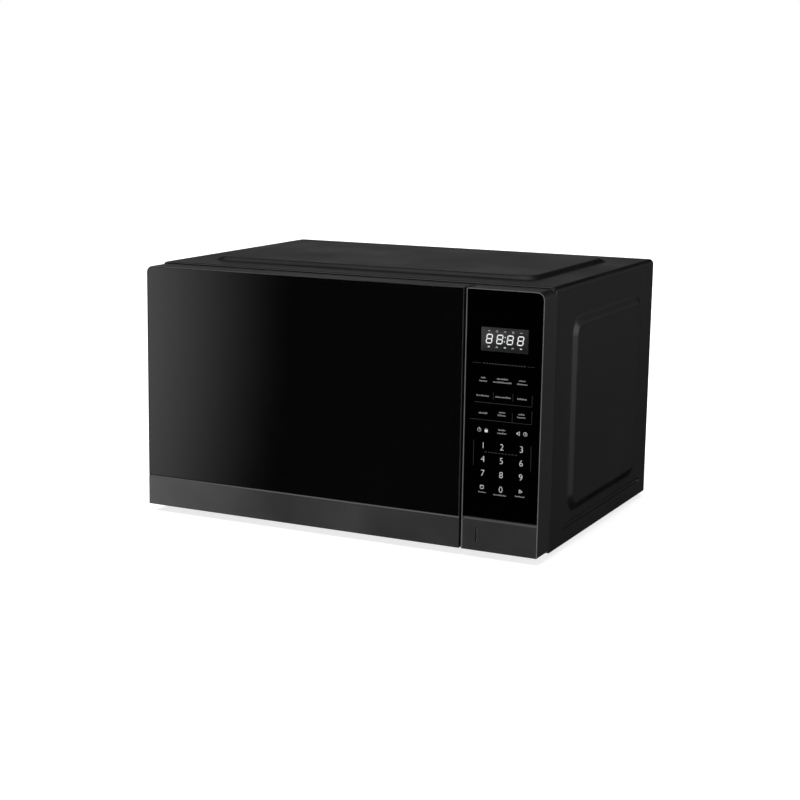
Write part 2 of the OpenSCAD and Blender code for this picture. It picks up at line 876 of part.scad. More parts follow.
module interlock_bracket() {
    back = switch_y + switch_size.y + 2;
    color("#e8e6df")
    difference() {
        union() {
            box([131, cav_front, 50], [168, cav_front + 2.5, 245]);
            for (w = bracket_walls)
                box([w[0], cav_front + 2, 50], [w[1], back, 245]);
            for (z = [[205, 245], [50, 92]])
                box([bracket_walls[0][0], back - 2, z[0]], [bracket_walls[1][1], back, z[1]]);
            // pads that hold the switches between the walls
            for (z = [221, 70])
                box([bracket_walls[0][1], switch_y + 3, z], [bracket_walls[1][0], switch_y + 13, z + 12]);
        }
        for (s = switches) {
            box(s[0], s[0] + switch_size);
            box(s[0] + [3, 15, 2], s[0] + [7, 19, 26]);
        }
        for (z = hook_z)
            box([slot_x[0], face, z - 9.5], [slot_x[1], cav_front + 3, z + 17.4]);
        for (w = bracket_walls)
            rod_x([w[0] - 1, lever.x, lever.y], pin_r + pin_fit, 5);
    }
}

module interlock_switches() {
    for (s = switches) {
        a = s[0];
        tip_z = a.z < hook_z[1] - 10 ? hook_z[0] + 4.5 : hook_z[1] + 4.5;
        color("#202022") box(a, a + switch_size);
        color("firebrick") box([a.x + s[1], a.y - 3.1, tip_z - 2], [a.x + s[1] + 1.6, a.y, tip_z + 2]);
        color("silver")
        for (k = [4, 14, 24])
            box(a + [4, 15, k - 2.4], a + [6, 22, k - 1.6]);
    }
}

module release_lever() {
    color("#e8e6df") {
        rod_x([lever_x[0] - 0.5, lever.x, lever.y], pin_r, lever_x[1] - lever_x[0]);
        for (x = [[143.5, 152.5], [174, 182]])
            rod_x([x[0], lever.x, lever.y], 5, x[1] - x[0]);
        box([143.5, lever.x - 12, lever.y - 4.5], [152.5, lever.x, lever.y + 4]);
        box([174, lever.x - rod_tip_r, lever.y - 13], [182, lever.x + 2.5, lever.y]);
    }
}

// ---------------------------------------------------------------- control panel

panel_in = 2.5;
shelf = button_top + 0.5;
leg_x = [rod_x_span, [242, 248]];
leg_z = [22, 36];
display = [[182.5, bezel_z + 227.5], [240, bezel_z + 255.3]];

module control_panel_frame() {
    color(black_plastic)
    difference() {
        along_y(front, face)
            rect4([panel_left, bezel_z], [right, bezel_top], [1, 1.5, corner_r, 1]);
        // seat of the glass
        along_y(front - 1, panel_glass_back)
            rect4([panel_left + rim, shelf - 1], [right - rim, bezel_top - rim],
                  [0.6, 0.6, corner_r - rim, 0.6]);
        // hollow behind the glass
        box([panel_left + panel_in, panel_glass_back + 2.2, shelf + 2.6],
            [right - panel_in, face + 1, bezel_top - 4]);
        box([panel_left + panel_in, button_seat + 2, bezel_z + panel_in],
            [right - panel_in, face + 1, shelf + 3]);
        // seat of the release button
        box([panel_left + rim + 0.2, front - 1, bezel_z - 1], [right - rim - 0.2, button_seat, shelf]);
        // window of the display
        along_y(front, front + 10) rrect(display[0] - [1, 1], display[1] + [1, 1], 1);
        // passages of the button's two legs
        for (leg = leg_x)
            box([leg[0] - 0.4, button_seat - 1, leg_z[0] - 0.5],
                [leg[1] + 0.4, button_seat + 3, leg_z[1] + 0.5]);
    }
}

module control_glass() {
    color(black_glass)
    along_y(glass_face, panel_glass_back)
        rect4([panel_left + rim + 0.1, button_top + 0.8], [right - rim - 0.1, bezel_top - rim - 0.1],
              [0.5, 0.5, corner_r - rim - 0.1, 0.5]);
}

module display_module() {
    pocket = panel_glass_back;
    color("#202022")
    along_y(pocket, pocket + 8) rrect(display[0], display[1], 0.5);
    color("ivory")
    for (i = [0 : 3], k = [-1, 1])
        translate([digit_x + digit_pitch * i, pocket, display_mid + 2.6 * k])
            box([0, 0, -0.3], [8, 1, 0.3]);
}

// Middle height of the digits, the left edge of the first one and the step between them
display_mid = bezel_z + 242.2;
digit_x = 188.6;
digit_pitch = 12.2;

module control_board() {
    y = panel_glass_back + 8;
    color(board_green)
    difference() {
        box([172, y, 100], [250, y + 1.6, 292]);
        rod_y([176, y - 1, 104], 1.6, 4);
        rod_y([246, y - 1, 288], 1.6, 4);
    }
    color("#202022") {
        box([180, y + 1.6, 110], [206, y + 12, 132]);
        box([214, y + 1.6, 110], [232, y + 13, 126]);
        box([190, y + 1.6, 150], [222, y + 4, 176]);
        rod_y([238, y + 1.6, 160], 6, 8);
        box([180, y + 1.6, 200], [196, y + 9, 212]);
    }
}

// Outline of the release button in (y, z), with the bevel along its upper edge
module button_outline(inset) {
    bevel = [2.4, 3.4];
    low = bezel_z + inset;
    high = button_top - inset;
    polygon([
        [front + inset, low + 0.6], [front + inset, high - bevel.y],
        [front + inset + bevel.x, high], [front + button_depth, high], [front + button_depth, low],
        [front + inset + 0.6, low]
    ]);
}

module release_button() {
    x = [panel_left + rim + 0.5, right - rim - 0.5];
    leg_back = front + 20;
    color(dark_trim) {
        difference() {
            along_x(x[0], x[1]) button_outline(0);
            difference() {
                along_x(x[0] + 2, x[1] - 2)
                    polygon([
                        [front + 2.2, bezel_z + 2], [front + 2.2, button_top - 6],
                        [front + 4, button_top - 2], [front + 9, button_top - 2], [front + 9, bezel_z + 2]
                    ]);
                for (leg = leg_x)
                    box([leg[0], front, leg_z[0] - 2], [leg[1], front + 9, leg_z[1] + 2]);
            }
            // slot mark on the face
            box([182.5, front - 1, bezel_z + 10.6], [183.8, front + 0.8, bezel_z + 28]);
        }
        // guide legs
        for (leg = leg_x)
            box([leg[0], front + button_depth, leg_z[0]], [leg[1], leg_back, leg_z[1]]);
        // riser and push rod
        box([rod_x_span[0], leg_back - 3, leg_z[0]], [rod_x_span[1], leg_back, rod_tip.y + rod_tip_r]);
        box([rod_x_span[0], leg_back - 1, rod_tip.y - rod_tip_r],
            [rod_x_span[1], rod_tip.x, rod_tip.y + rod_tip_r]);
        rod_x([rod_x_span[0], rod_tip.x, rod_tip.y], rod_tip_r, rod_x_span[1] - rod_x_span[0]);
    }
}

module button_springs() {
    color("silver")
    for (x = [196, 226])
        translate([x, front + 2.25, 29]) rotate([-90, 0, 0]) coil(4, 0.4, 4, button_seat - front - 2.3);
}

// ---------------------------------------------------------------- door

door_web = door_glass_back + 3.5;
panel_y = front + 25;
window_a = [-205, 66];
window_b = [105, 250];
seat_a = [left + 16.5, bezel_z + 9];
seat_b = [door_right - 4, bezel_top - 9];

// Channel of the trim band, open at the back and at both ends
module band_channel() {
    bevel = [1.5, 1.9];
    back = front + 7;
    along_x(left, door_right)
        polygon([
            [front, bezel_z + 0.8], [front, band_top - bevel.y], [front + bevel.x, band_top],
            [back, band_top], [back, band_top - sheet], [front + bevel.x + 0.4, band_top - sheet],
            [front + sheet, band_top - bevel.y - 0.3], [front + sheet, bezel_z + sheet],
            [back, bezel_z + sheet], [back, bezel_z], [front + 0.8, bezel_z]
        ]);
}

// Space in front of the band, which the door frame leaves free
module band_space() {
    difference() {
        box([left - 1, front - 1, bezel_z - 1], [door_right + 1, front + 7, band_top]);
        along_x(left - 2, door_right + 2)
            polygon([
                [front + sheet, bezel_z + sheet], [front + sheet, band_top - 2.2],
                [front + 1.9, band_top - sheet], [front + 9, band_top - sheet],
                [front + 9, bezel_z + sheet]
            ]);
    }
}

module hook_slots(y0, y1) {
    for (z = hook_z)
        box([slot_x[0], y0, z - 9.5], [slot_x[1], y1, z + 12.5]);
}

module door_frame() {
    arm_room = 7.6;
    color(black_plastic) {
        difference() {
            intersection() {
                along_y(front, door_back)
                    rect4([left, bezel_z], [door_right, bezel_top], [1, 1, 1, corner_r]);
                along_z(bezel_z - 1, bezel_top + 1)
                    rect4([left, front], [door_right, door_back], [0.6, 0.6, 1, hinge_edge_r]);
            }
            band_space();
            // seat of the glass
            along_y(front - 1, door_glass_back)
                rect4([left + rim, band_top - 0.1], [door_right - rim, bezel_top - rim],
                      [0.4, 0.4, 0.6, corner_r - rim]);
            // window
            along_y(front, door_back + 1) rrect(window_a, window_b, 8);
            // hollow, then the seat of the inner panel and its cover
            along_y(door_web, panel_y + 1) rrect(seat_a + [3, 3], seat_b - [3, 3], 3);
            along_y(panel_y, door_back + 1) rrect(seat_a, seat_b, 4);
            box([left + 4, door_web, 45], [seat_a.x + 4, front + 20, 265]);
            // hinge pin bores and the room that the hinge arms swing through
            rod_z([hinge_axis.x, hinge_axis.y, upper_arm_z - 14], pin_r + pin_fit, 15);
            rod_z([hinge_axis.x, hinge_axis.y, lower_arm_z + arm_t - 1], pin_r + pin_fit, 15);
            for (z = [upper_arm_z, lower_arm_z])
                box([left - 1, hinge_axis.y - arm_room, z - 0.6],
                    [hinge_axis.x + 5.6, door_back + 1, z + arm_t + 0.6]);
        }
        // guides and spring seat of the latch bar
        for (z = [102, 188]) {
            box([hook_x[0] - 4, door_web - 0.5, z], [hook_x[0] - 0.9, panel_y, z + 11]);
            box([hook_x[1] + 0.9, door_web - 0.5, z], [hook_x[1] + 4, panel_y, z + 11]);
        }
        box([hook_x[0] - 2, door_web - 0.5, spring_seat_z - 3], [hook_x[1] + 2, panel_y, spring_seat_z]);
    }
}

module door_glass() {
    color(black_glass)
    along_y(glass_face, door_glass_back)
        rect4([left + rim + 0.1, band_top + 0.2], [door_right - rim - 0.1, bezel_top - rim - 0.1],
              [0.4, 0.4, 0.6, corner_r - rim - 0.1]);
}

module door_band() {
    color(dark_trim)
    band_channel();
}

module door_inner_panel() {
    choke_a = window_a - [22, 34];
    choke_b = window_b + [30, 34];
    color(plain_steel)
    difference() {
        union() {
            along_y(panel_y, panel_y + sheet) rrect(seat_a + [0.2, 0.2], seat_b - [0.2, 0.2], 3.8);
            along_y(panel_y, panel_y + 5) rrect(choke_a, choke_b, 6);
        }
        along_y(panel_y + sheet, panel_y + 6)
            rrect(choke_a + [1, 1], choke_b - [1, 1], 5);
        // fingers of the choke
        for (i = [0 : 16])
            box([choke_a.x + 18 + 20 * i, panel_y + sheet, choke_a.y - 2],
                [choke_a.x + 22 + 20 * i, panel_y + 6, choke_b.y + 2]);
        for (i = [0 : 11])
            box([choke_a.x - 2, panel_y + sheet, choke_a.y + 14 + 20 * i],
                [choke_b.x + 2, panel_y + 6, choke_a.y + 18 + 20 * i]);
        hook_slots(panel_y - 1, panel_y + 6);
    }
}

module inner_window() {
    gap = [0.2, 0.2];
    color([0.5, 0.55, 0.55, 0.5])
    along_y(panel_y + sheet, panel_y + sheet + 0.8)
        rrect(window_a + gap, window_b - gap, 7.8);
}

module choke_cover() {
    low = panel_y + sheet;
    lip = [2, 2];
    a = seat_a + [0.3, 0.3];
    b = seat_b - [0.3, 0.3];
    color(black_plastic)
    difference() {
        along_y(low, door_back) rrect(a, b, 3.7);
        along_y(low - 1, door_back - 2.5)
            difference() {
                rrect(a + lip, b - lip, 2);
                rrect(window_a - lip, window_b + lip, 10);
            }
        along_y(low - 1, door_back + 1) rrect(window_a, window_b, 8);
        hook_slots(low - 1, door_back + 1);
    }
}

// ---------------------------------------------------------------- hinges

// Bracket with its pin, whose arm lies at height z; dir is -1 for a pin that hangs
module hinge_bracket(z, dir) {
    pin_l = 12;
    leaf_z = dir < 0 ? [z - 12, z + arm_t + 3] : [z - 3, z + arm_t + 12];
    color(plain_steel) {
        along_z(z, z + arm_t) {
            translate(hinge_axis) circle(5);
            translate([hinge_axis.x - 5, hinge_axis.y]) square([10, cav_front - hinge_axis.y + 2]);
        }
        box([hinge_axis.x - 5.5, cav_front, leaf_z[0]], [hinge_axis.x + 18, cav_front + 2, leaf_z[1]]);
        rod_z([hinge_axis.x, hinge_axis.y, dir < 0 ? z - pin_l : z + arm_t - 0.5], pin_r, pin_l + 0.5);
    }
}

hinge_screw_places = [
    for (z = [upper_arm_z - 6, lower_arm_z + arm_t + 6], x = [2, 12]) [hinge_axis.x + x, z]
];

module hinge_leaf_holes() {
    for (p = hinge_screw_places)
        rod_y([p.x, face - 1, p.y], 2.1, 6);
}

module hinge_upper() {
    difference() {
        hinge_bracket(upper_arm_z, -1);
        hinge_leaf_holes();
    }
}

module hinge_lower() {
    difference() {
        hinge_bracket(lower_arm_z, 1);
        hinge_leaf_holes();
    }
}

module hinge_screws() {
    color(plain_steel)
    for (p = hinge_screw_places) {
        rod_y([p.x, cav_front + 2, p.y], 3.6, 2);
        rod_y([p.x, face + 0.1, p.y], 2, 4);
    }
}

// ---------------------------------------------------------------- wiring

module internal_wiring() {
    color("firebrick")
    wire([[yoke_x[1] + 10, tube.x, tube.y - 43], [yoke_x[1] + 10, tube.x, 110],
          [yoke_x[1] + 2, 56, 84], [bay_l + 52, 56, board_b.z + 50]], 1.6);
    color("#2b2b2d")
    wire([[inlet.x, back_y - 8, inlet.y], [inlet.x, 140, inlet.y], [bay_l + 62, 140, inlet.y - 2],
          [bay_l + 62, 140, floor_z + 25.7]], 2.6);
    color("ivory")
    wire([[196, -192.5, 118], [196, -150, 112], [220, -110, 84], [220, -60, 54],
          [220, -60, board_b.z + 0.1]], 2);
}

outer_casing();
base_plate();
back_panel();
wall_spacers();
feet();
casing_screws();
cord_inlet_bush();
cavity();
front_plate();
mica_cover();
waveguide();
magnetron_yoke();
magnetron_magnets();
magnetron_tube();
magnetron_fins();
magnetron_filter_box();
inverter_tray();
inverter_board();
inverter_transformer();
inverter_heat_sinks();
inverter_capacitors();
filter_board();
thermal_cutout();
fan_shroud();
fan_motor();
fan_blade();
air_guide();
lamp_holder();
lamp_bulb();
grill_reflector();
grill_tubes();
turntable_motor();
motor_shaft();
drive_coupler();
roller_ring();
roller_wheel_1();
roller_wheel_2();
roller_wheel_3();
glass_tray();
interlock_bracket();
interlock_switches();
release_lever();
control_panel_frame();
control_glass();
display_module();
control_board();
release_button();
button_springs();
door_frame();
door_glass();
door_band();
door_inner_panel();
inner_window();
choke_cover();
latch_hook();
latch_spring();
hinge_upper();
hinge_lower();
hinge_screws();
internal_wiring();
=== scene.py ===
"""Looks of a countertop microwave oven with a glass door, a touch panel and a push-button release.

Every length is in metres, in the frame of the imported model: +X to the right of someone facing the
front, +Y away from the front and +Z up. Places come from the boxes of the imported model's nodes, or
are given in that frame.
"""

import json
import math
import random

import bmesh
import bpy
from mathutils import Matrix, Vector
from mathutils.geometry import tessellate_polygon

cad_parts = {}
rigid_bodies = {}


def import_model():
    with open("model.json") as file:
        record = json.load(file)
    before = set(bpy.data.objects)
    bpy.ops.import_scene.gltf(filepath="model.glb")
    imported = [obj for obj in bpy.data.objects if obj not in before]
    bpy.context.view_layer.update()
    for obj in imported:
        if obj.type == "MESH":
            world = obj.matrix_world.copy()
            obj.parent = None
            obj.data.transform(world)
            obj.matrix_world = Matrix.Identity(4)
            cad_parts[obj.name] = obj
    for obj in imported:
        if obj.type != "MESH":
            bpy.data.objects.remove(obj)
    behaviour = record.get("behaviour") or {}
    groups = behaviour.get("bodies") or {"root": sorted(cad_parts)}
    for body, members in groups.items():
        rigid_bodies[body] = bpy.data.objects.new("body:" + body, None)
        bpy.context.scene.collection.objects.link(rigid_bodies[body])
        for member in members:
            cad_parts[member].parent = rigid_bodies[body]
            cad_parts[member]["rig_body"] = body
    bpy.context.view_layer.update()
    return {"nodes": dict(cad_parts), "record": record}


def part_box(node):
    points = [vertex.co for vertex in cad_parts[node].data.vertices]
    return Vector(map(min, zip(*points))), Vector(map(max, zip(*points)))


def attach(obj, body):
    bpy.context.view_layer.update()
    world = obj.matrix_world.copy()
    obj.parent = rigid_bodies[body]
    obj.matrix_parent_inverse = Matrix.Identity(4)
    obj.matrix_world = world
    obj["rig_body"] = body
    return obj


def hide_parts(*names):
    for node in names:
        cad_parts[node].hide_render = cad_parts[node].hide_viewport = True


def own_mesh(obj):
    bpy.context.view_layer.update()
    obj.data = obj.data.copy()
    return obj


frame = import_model()
MM = 0.001
MERGE_DISTANCE = 0.002 * MM
MATERIAL_SLOTS = {part["node"]: part["material_slot"] for part in frame["record"]["subparts"]}


# ---------------------------------------------------------------- shader helpers

class Shader:
    """A material's node tree, with short calls that add nodes to it."""

    def __init__(self, name):
        self.material = bpy.data.materials.new(name)
        self.material.use_nodes = True
        self.tree = self.material.node_tree
        self.tree.nodes.clear()
        self.surface = self.add("ShaderNodeBsdfPrincipled")
        output = self.add("ShaderNodeOutputMaterial")
        self.link(self.surface.outputs[0], output.inputs["Surface"])
        self.place = self.add("ShaderNodeTexCoord").outputs["Object"]

    def add(self, kind, **settings):
        """Adds a node of a kind and sets its properties."""
        node = self.tree.nodes.new(kind)
        for key, value in settings.items():
            setattr(node, key, value)
        return node

    def link(self, source, target):
        self.tree.links.new(source, target)

    def feed(self, node, **values):
        """Sets or links inputs by name, where an underscore stands for a space."""
        for key, value in values.items():
            socket = node.inputs[key.replace("_", " ")]
            if isinstance(value, bpy.types.NodeSocket):
                self.link(value, socket)
            else:
                socket.default_value = value
        return node

    def stretched(self, scale):
        """Object coordinates with each axis multiplied by its own factor."""
        mapping = self.add("ShaderNodeMapping")
        return self.feed(mapping, Vector=self.place, Scale=scale).outputs[0]

    def noise(self, scale, detail=4.0, roughness=0.55, stretch=None):
        """Fractal noise from 0 to 1 with `scale` features per metre."""
        node = self.add("ShaderNodeTexNoise")
        vector = self.stretched(stretch) if stretch else self.place
        self.feed(node, Vector=vector, Scale=scale, Detail=detail, Roughness=roughness)
        return node.outputs["Fac"]

    def spread(self, value, low, high, start=0.35, end=0.65):
        """Maps the middle of a noise to the range from low to high."""
        node = self.add("ShaderNodeMapRange")
        self.feed(node, Value=value, From_Min=start, From_Max=end, To_Min=low, To_Max=high)
        return node.outputs[0]

    def blend(self, factor, first, second):
        """Mixes two colours, from the first at 0 to the second at 1."""
        node = self.add("ShaderNodeMix", data_type="RGBA")
        for socket, value in ((node.inputs[0], factor), (node.inputs[6], first), (node.inputs[7], second)):
            if isinstance(value, bpy.types.NodeSocket):
                self.link(value, socket)
            else:
                socket.default_value = value
        return node.outputs[2]

    def bump(self, height, depth):
        """Bump whose full height is `depth` metres."""
        node = self.add("ShaderNodeBump")
        self.feed(node, Height=height, Distance=depth, Strength=1.0)
        return node.outputs[0]


def rgba(color, factor=1.0):
    """Opaque colour, made lighter or darker by a factor."""
    return (color[0] * factor, color[1] * factor, color[2] * factor, 1.0)


def moulded(name, color, rough=0.4, grain=1800, depth=0.00002, mottle=0.18, **fixed):
    """Moulded or painted surface: fine grain in the bump, soft blotches in colour and roughness."""
    s = Shader(name)
    blotch = s.noise(9, 5)
    fine = s.noise(grain, 2)
    tone = s.blend(s.spread(blotch, 0, 1), rgba(color, 1 - mottle), rgba(color, 1 + mottle))
    s.feed(s.surface, Base_Color=tone, Roughness=s.spread(blotch, rough - 0.05, rough + 0.06))
    s.feed(s.surface, Normal=s.bump(fine, depth))
    s.feed(s.surface, **fixed)
    return s.material


def brushed(name, color, rough, along):
    """Metal with fine brush lines along one axis."""
    s = Shader(name)
    mottle = 0.1
    stretch = [1.0, 1.0, 1.0]
    stretch[along] = 0.012
    lines = s.noise(2600, 3, 0.6, stretch)
    wide = s.noise(14, 3)
    tone = s.blend(s.spread(lines, 0, 1), rgba(color, 1 - mottle), rgba(color, 1 + mottle))
    base = s.spread(lines, rough - 0.05, rough + 0.07)
    drift = s.add("ShaderNodeMath", operation="MULTIPLY_ADD")
    drift.inputs[1].default_value = 0.08
    s.link(wide, drift.inputs[0])
    s.link(base, drift.inputs[2])
    s.feed(s.surface, Base_Color=tone, Roughness=drift.outputs[0], Metallic=1.0)
    s.feed(s.surface, Normal=s.bump(lines, 0.000006))
    return s.material


def sheet_metal(name, color, rough=0.35, spangle=130):
    """Plated sheet with the faint crystal pattern of a zinc coat, `spangle` crystals per metre."""
    s = Shader(name)
    cells = s.add("ShaderNodeTexVoronoi")
    s.feed(cells, Vector=s.place, Scale=spangle)
    tint = s.add("ShaderNodeSeparateColor")
    s.link(cells.outputs["Color"], tint.inputs[0])
    fine = s.noise(900, 3)
    tone = s.blend(tint.outputs[0], rgba(color, 0.93), rgba(color, 1.05))
    s.feed(s.surface, Base_Color=tone, Metallic=0.9)
    s.feed(s.surface, Roughness=s.spread(tint.outputs[1], rough - 0.02, rough + 0.06, 0, 1))
    s.feed(s.surface, Normal=s.bump(fine, 0.00001))
    return s.material


def glass(name, color, rough=0.02, **fixed):
    """Glossy pane with the faintest film of dust in its roughness."""
    s = Shader(name)
    haze = s.noise(26, 6, 0.65)
    tone = s.blend(s.spread(haze, 0, 1), rgba(color), rgba(color, 1.25))
    s.feed(s.surface, Base_Color=tone, Roughness=s.spread(haze, rough, rough + 0.03))
    s.feed(s.surface, **fixed)
    return s.material


def enamel(name, color):
    """Stove enamel: glossy, with light and dark specks and a faint orange-peel surface."""
    s = Shader(name)
    specks = s.noise(1500, 2, 0.7)
    peel = s.noise(320, 2)
    light = s.spread(specks, 0, 1, 0.66, 0.7)
    dark = s.spread(specks, 1, 0, 0.3, 0.34)
    tone = s.blend(light, rgba(color), rgba(color, 3.2))
    tone = s.blend(dark, tone, rgba(color, 0.25))
    s.feed(s.surface, Base_Color=tone, Roughness=s.spread(peel, 0.2, 0.32))
    s.feed(s.surface, Normal=s.bump(peel, 0.00003))
    return s.material


def circuit_board(name):
    """Solder resist with darker tracks and pale pads."""
    s = Shader(name)
    tracks = s.add("ShaderNodeTexBrick")
    s.feed(tracks, Vector=s.place, Scale=120.0, Mortar_Size=0.012, Color1=(0.02, 0.13, 0.05, 1),
           Color2=(0.025, 0.16, 0.065, 1), Mortar=(0.08, 0.26, 0.1, 1))
    s.feed(s.surface, Base_Color=tracks.outputs[0], Roughness=s.spread(s.noise(200), 0.25, 0.45))
    return s.material


def speckled(name, color, rough, **fixed):
    """Dark filter film with light and dark specks about a millimetre across."""
    s = Shader(name)
    specks = s.noise(1250, 2, 0.7)
    tone = s.blend(s.spread(specks, 0, 1, 0.38, 0.62), rgba(color, 0.3), rgba(color, 2.0))
    s.feed(s.surface, Base_Color=tone, Roughness=s.spread(specks, rough - 0.05, rough + 0.05))
    s.feed(s.surface, **fixed)
    return s.material


def glow(name, color, strength):
    """Printed sign or lit display segment that gives off a little light of its own; on print this glow is
    painted light.
    """
    s = Shader(name)
    mottle = s.noise(700, 2)
    tone = s.blend(s.spread(mottle, 0, 1), rgba(color, 0.92), rgba(color))
    s.feed(s.surface, Base_Color=tone, Roughness=0.5, Specular_IOR_Level=0.0)
    s.feed(s.surface, Emission_Color=tone, Emission_Strength=strength)
    return s.material


# ---------------------------------------------------------------- materials

FINISHES = {
    "casing_paint": moulded("casing_paint", (0.0034, 0.0034, 0.0036), 0.33, 1500, 0.000025, 0.1),
    "galvanised_steel": sheet_metal("galvanised_steel", (0.5, 0.51, 0.52)),
    "black_plastic": moulded("black_plastic", (0.0085, 0.0085, 0.009), 0.34, 2200, 0.000012, 0.12),
    "dark_plastic": moulded("dark_plastic", (0.03, 0.03, 0.033), 0.42),
    "choke_plastic": moulded("choke_plastic", (0.01, 0.01, 0.011), 0.3, 1200, 0.00001),
    "white_plastic": moulded("white_plastic", (0.72, 0.7, 0.64), 0.45, 900, 0.00001, 0.04),
    "rubber": moulded("rubber", (0.022, 0.022, 0.023), 0.7, 700, 0.00004),
    "screw_steel": brushed("screw_steel", (0.5, 0.5, 0.51), 0.3, 1),
    "spring_steel": brushed("spring_steel", (0.42, 0.42, 0.44), 0.25, 2),
    "cavity_enamel": enamel("cavity_enamel", (0.11, 0.115, 0.12)),
    "panel_steel": moulded("panel_steel", (0.018, 0.018, 0.019), 0.38, 1400),
    "mica": moulded("mica", (0.46, 0.38, 0.28), 0.55, 260, 0.00005, 0.3),
    "ferrite": moulded("ferrite", (0.05, 0.05, 0.054), 0.6, 500, 0.00004),
    "copper": brushed("copper", (0.72, 0.36, 0.22), 0.3, 0),
    "aluminium": brushed("aluminium", (0.72, 0.73, 0.74), 0.32, 0),
    "circuit_board": circuit_board("circuit_board"),
    "capacitor_sleeve": moulded("capacitor_sleeve", (0.02, 0.045, 0.13), 0.28, 400, 0.00001),
    "motor_steel": sheet_metal("motor_steel", (0.34, 0.35, 0.36), 0.4, 40),
    "lamp_glass": glass("lamp_glass", (0.9, 0.87, 0.8), 0.35, Transmission_Weight=0.6),
    "quartz": glass("quartz", (0.8, 0.72, 0.62), 0.25, Transmission_Weight=0.5),
    "clear_glass": glass("clear_glass", (0.86, 0.95, 0.93), 0.0, Transmission_Weight=1.0, IOR=1.5),
    "clear_film": glass("clear_film", (0.05, 0.052, 0.055), 0.06, Alpha=0.22),
    "black_glass": glass("black_glass", (0.0003, 0.0003, 0.0003), 0.012, IOR=1.5),
    "dark_trim": moulded("dark_trim", (0.043, 0.043, 0.045), 0.18, 1800, 0.000003, 0.05, Metallic=0.5,
                          Specular_IOR_Level=0.75),
    "wire_insulation": moulded("wire_insulation", (0.25, 0.03, 0.025), 0.5),
}
DOOR_GLASS = glass("door_glass_sheet", (0.0013, 0.0013, 0.0013), 0.012, IOR=1.5)
# Lighter colour painted on the fronts of the rims as a highlight where they catch the light.
RIM_HIGHLIGHT = moulded("rim_painted_highlight", (0.085, 0.085, 0.087), 0.32, 2200, 0.000004, 0.05)
# Near-black colour painted as the shade inside the button's slot.
SLOT_SHADE = moulded("slot_painted_shade", (0.001, 0.001, 0.001), 0.6, Specular_IOR_Level=0.0)
DISPLAY_FACE = speckled("display_face", (0.012, 0.012, 0.0125), 0.5, Specular_IOR_Level=0.1)
LIT_DIGIT = glow("lit_digit", (0.6, 0.61, 0.62), 0.32)
DISPLAY_MARK = glow("display_mark", (0.42, 0.425, 0.43), 0.28)
# Print on the panel's glass, given a painted glow so that it looks lit.
WHITE_PRINT_GLOW = glow("white_print_painted_glow", (0.5, 0.5, 0.5), 0.16)
GREY_PRINT_GLOW = glow("grey_print_painted_glow", (0.19, 0.19, 0.19), 0.1)
FAINT_PRINT_GLOW = glow("faint_print_painted_glow", (0.03, 0.03, 0.03), 0.02)


def finish_cad_nodes():
    """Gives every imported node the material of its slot."""
    for name, node in frame["nodes"].items():
        for place in node.material_slots:
            place.material = FINISHES[MATERIAL_SLOTS[name]]


# ---------------------------------------------------------------- mesh helpers

def piece(name, mesh, material, body, slot, nodes=()):
    """Object for a mesh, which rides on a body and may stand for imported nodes."""
    item = bpy.data.objects.new(name, mesh)
    bpy.context.scene.collection.objects.link(item)
    mesh.materials.append(material)
    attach(item, body)
    if nodes:
        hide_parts(*nodes)
    return item


def append_skin(points, faces, more, skin):
    """Adds the points and faces of a skin to those of a larger one."""
    faces.extend(tuple(i + len(points) for i in face) for face in skin)
    points.extend(more)


def grid_faces(rows, columns):
    """Faces of an open sheet over rows of points that follow one another."""
    return [(r * columns + j, r * columns + j + 1, (r + 1) * columns + j + 1, (r + 1) * columns + j)
            for r in range(rows - 1) for j in range(columns - 1)]


def mesh_of(name, points, faces, merge=True):
    """Mesh from points and faces, with shared points merged and faces turned outward."""
    mesh = bpy.data.meshes.new(name)
    mesh.from_pydata([tuple(p) for p in points], [], faces)
    work = bmesh.new()
    work.from_mesh(mesh)
    if merge:
        bmesh.ops.remove_doubles(work, verts=work.verts, dist=MERGE_DISTANCE)
    bmesh.ops.recalc_face_normals(work, faces=work.faces)
    for face in work.faces:
        face.smooth = True
    work.to_mesh(mesh)
    work.free()
    return mesh


def even_shading(item):
    """Keeps large flat faces flat where they meet rounded edges."""
    modifier = item.modifiers.new("even_shading", "WEIGHTED_NORMAL")
    modifier.mode = "FACE_AREA"
    modifier.keep_sharp = True


def outline(low, high, radii, steps=8):
    """Rectangle with a radius at each corner: low left, low right, high right, high left.
    Each corner has one point more than `steps`."""
    corners = (
        (low[0] + radii[0], low[1] + radii[0], 180), (high[0] - radii[1], low[1] + radii[1], 270),
        (high[0] - radii[2], high[1] - radii[2], 0), (low[0] + radii[3], high[1] - radii[3], 90),
    )
    points = []
    for (a, b, start), r in zip(corners, radii):
        for k in range(steps + 1):
            turn = math.radians(start + 90 * k / steps)
            points.append((a + r * math.cos(turn), b + r * math.sin(turn)))
    return points


def inset_outline(low, high, radii, inset, steps=8):
    """The same rectangle drawn `inset` further in."""
    least = 0.1 * MM
    return outline((low[0] + inset, low[1] + inset), (high[0] - inset, high[1] - inset),
                   [max(r - inset, least) for r in radii], steps)


def loft(rings, cap_first=True):
    """Points and faces of a skin over closed rings that have the same number of points.
    The last ring is always capped."""
    count = len(rings[0])
    points = [p for ring in rings for p in ring]
    faces = []
    for i in range(len(rings) - 1):
        for j in range(count):
            k = (j + 1) % count
            faces.append((i * count + j, i * count + k, (i + 1) * count + k, (i + 1) * count + j))
    if cap_first:
        faces.append(tuple(reversed(range(count))))
    faces.append(tuple(range((len(rings) - 1) * count, len(rings) * count)))
    return points, faces


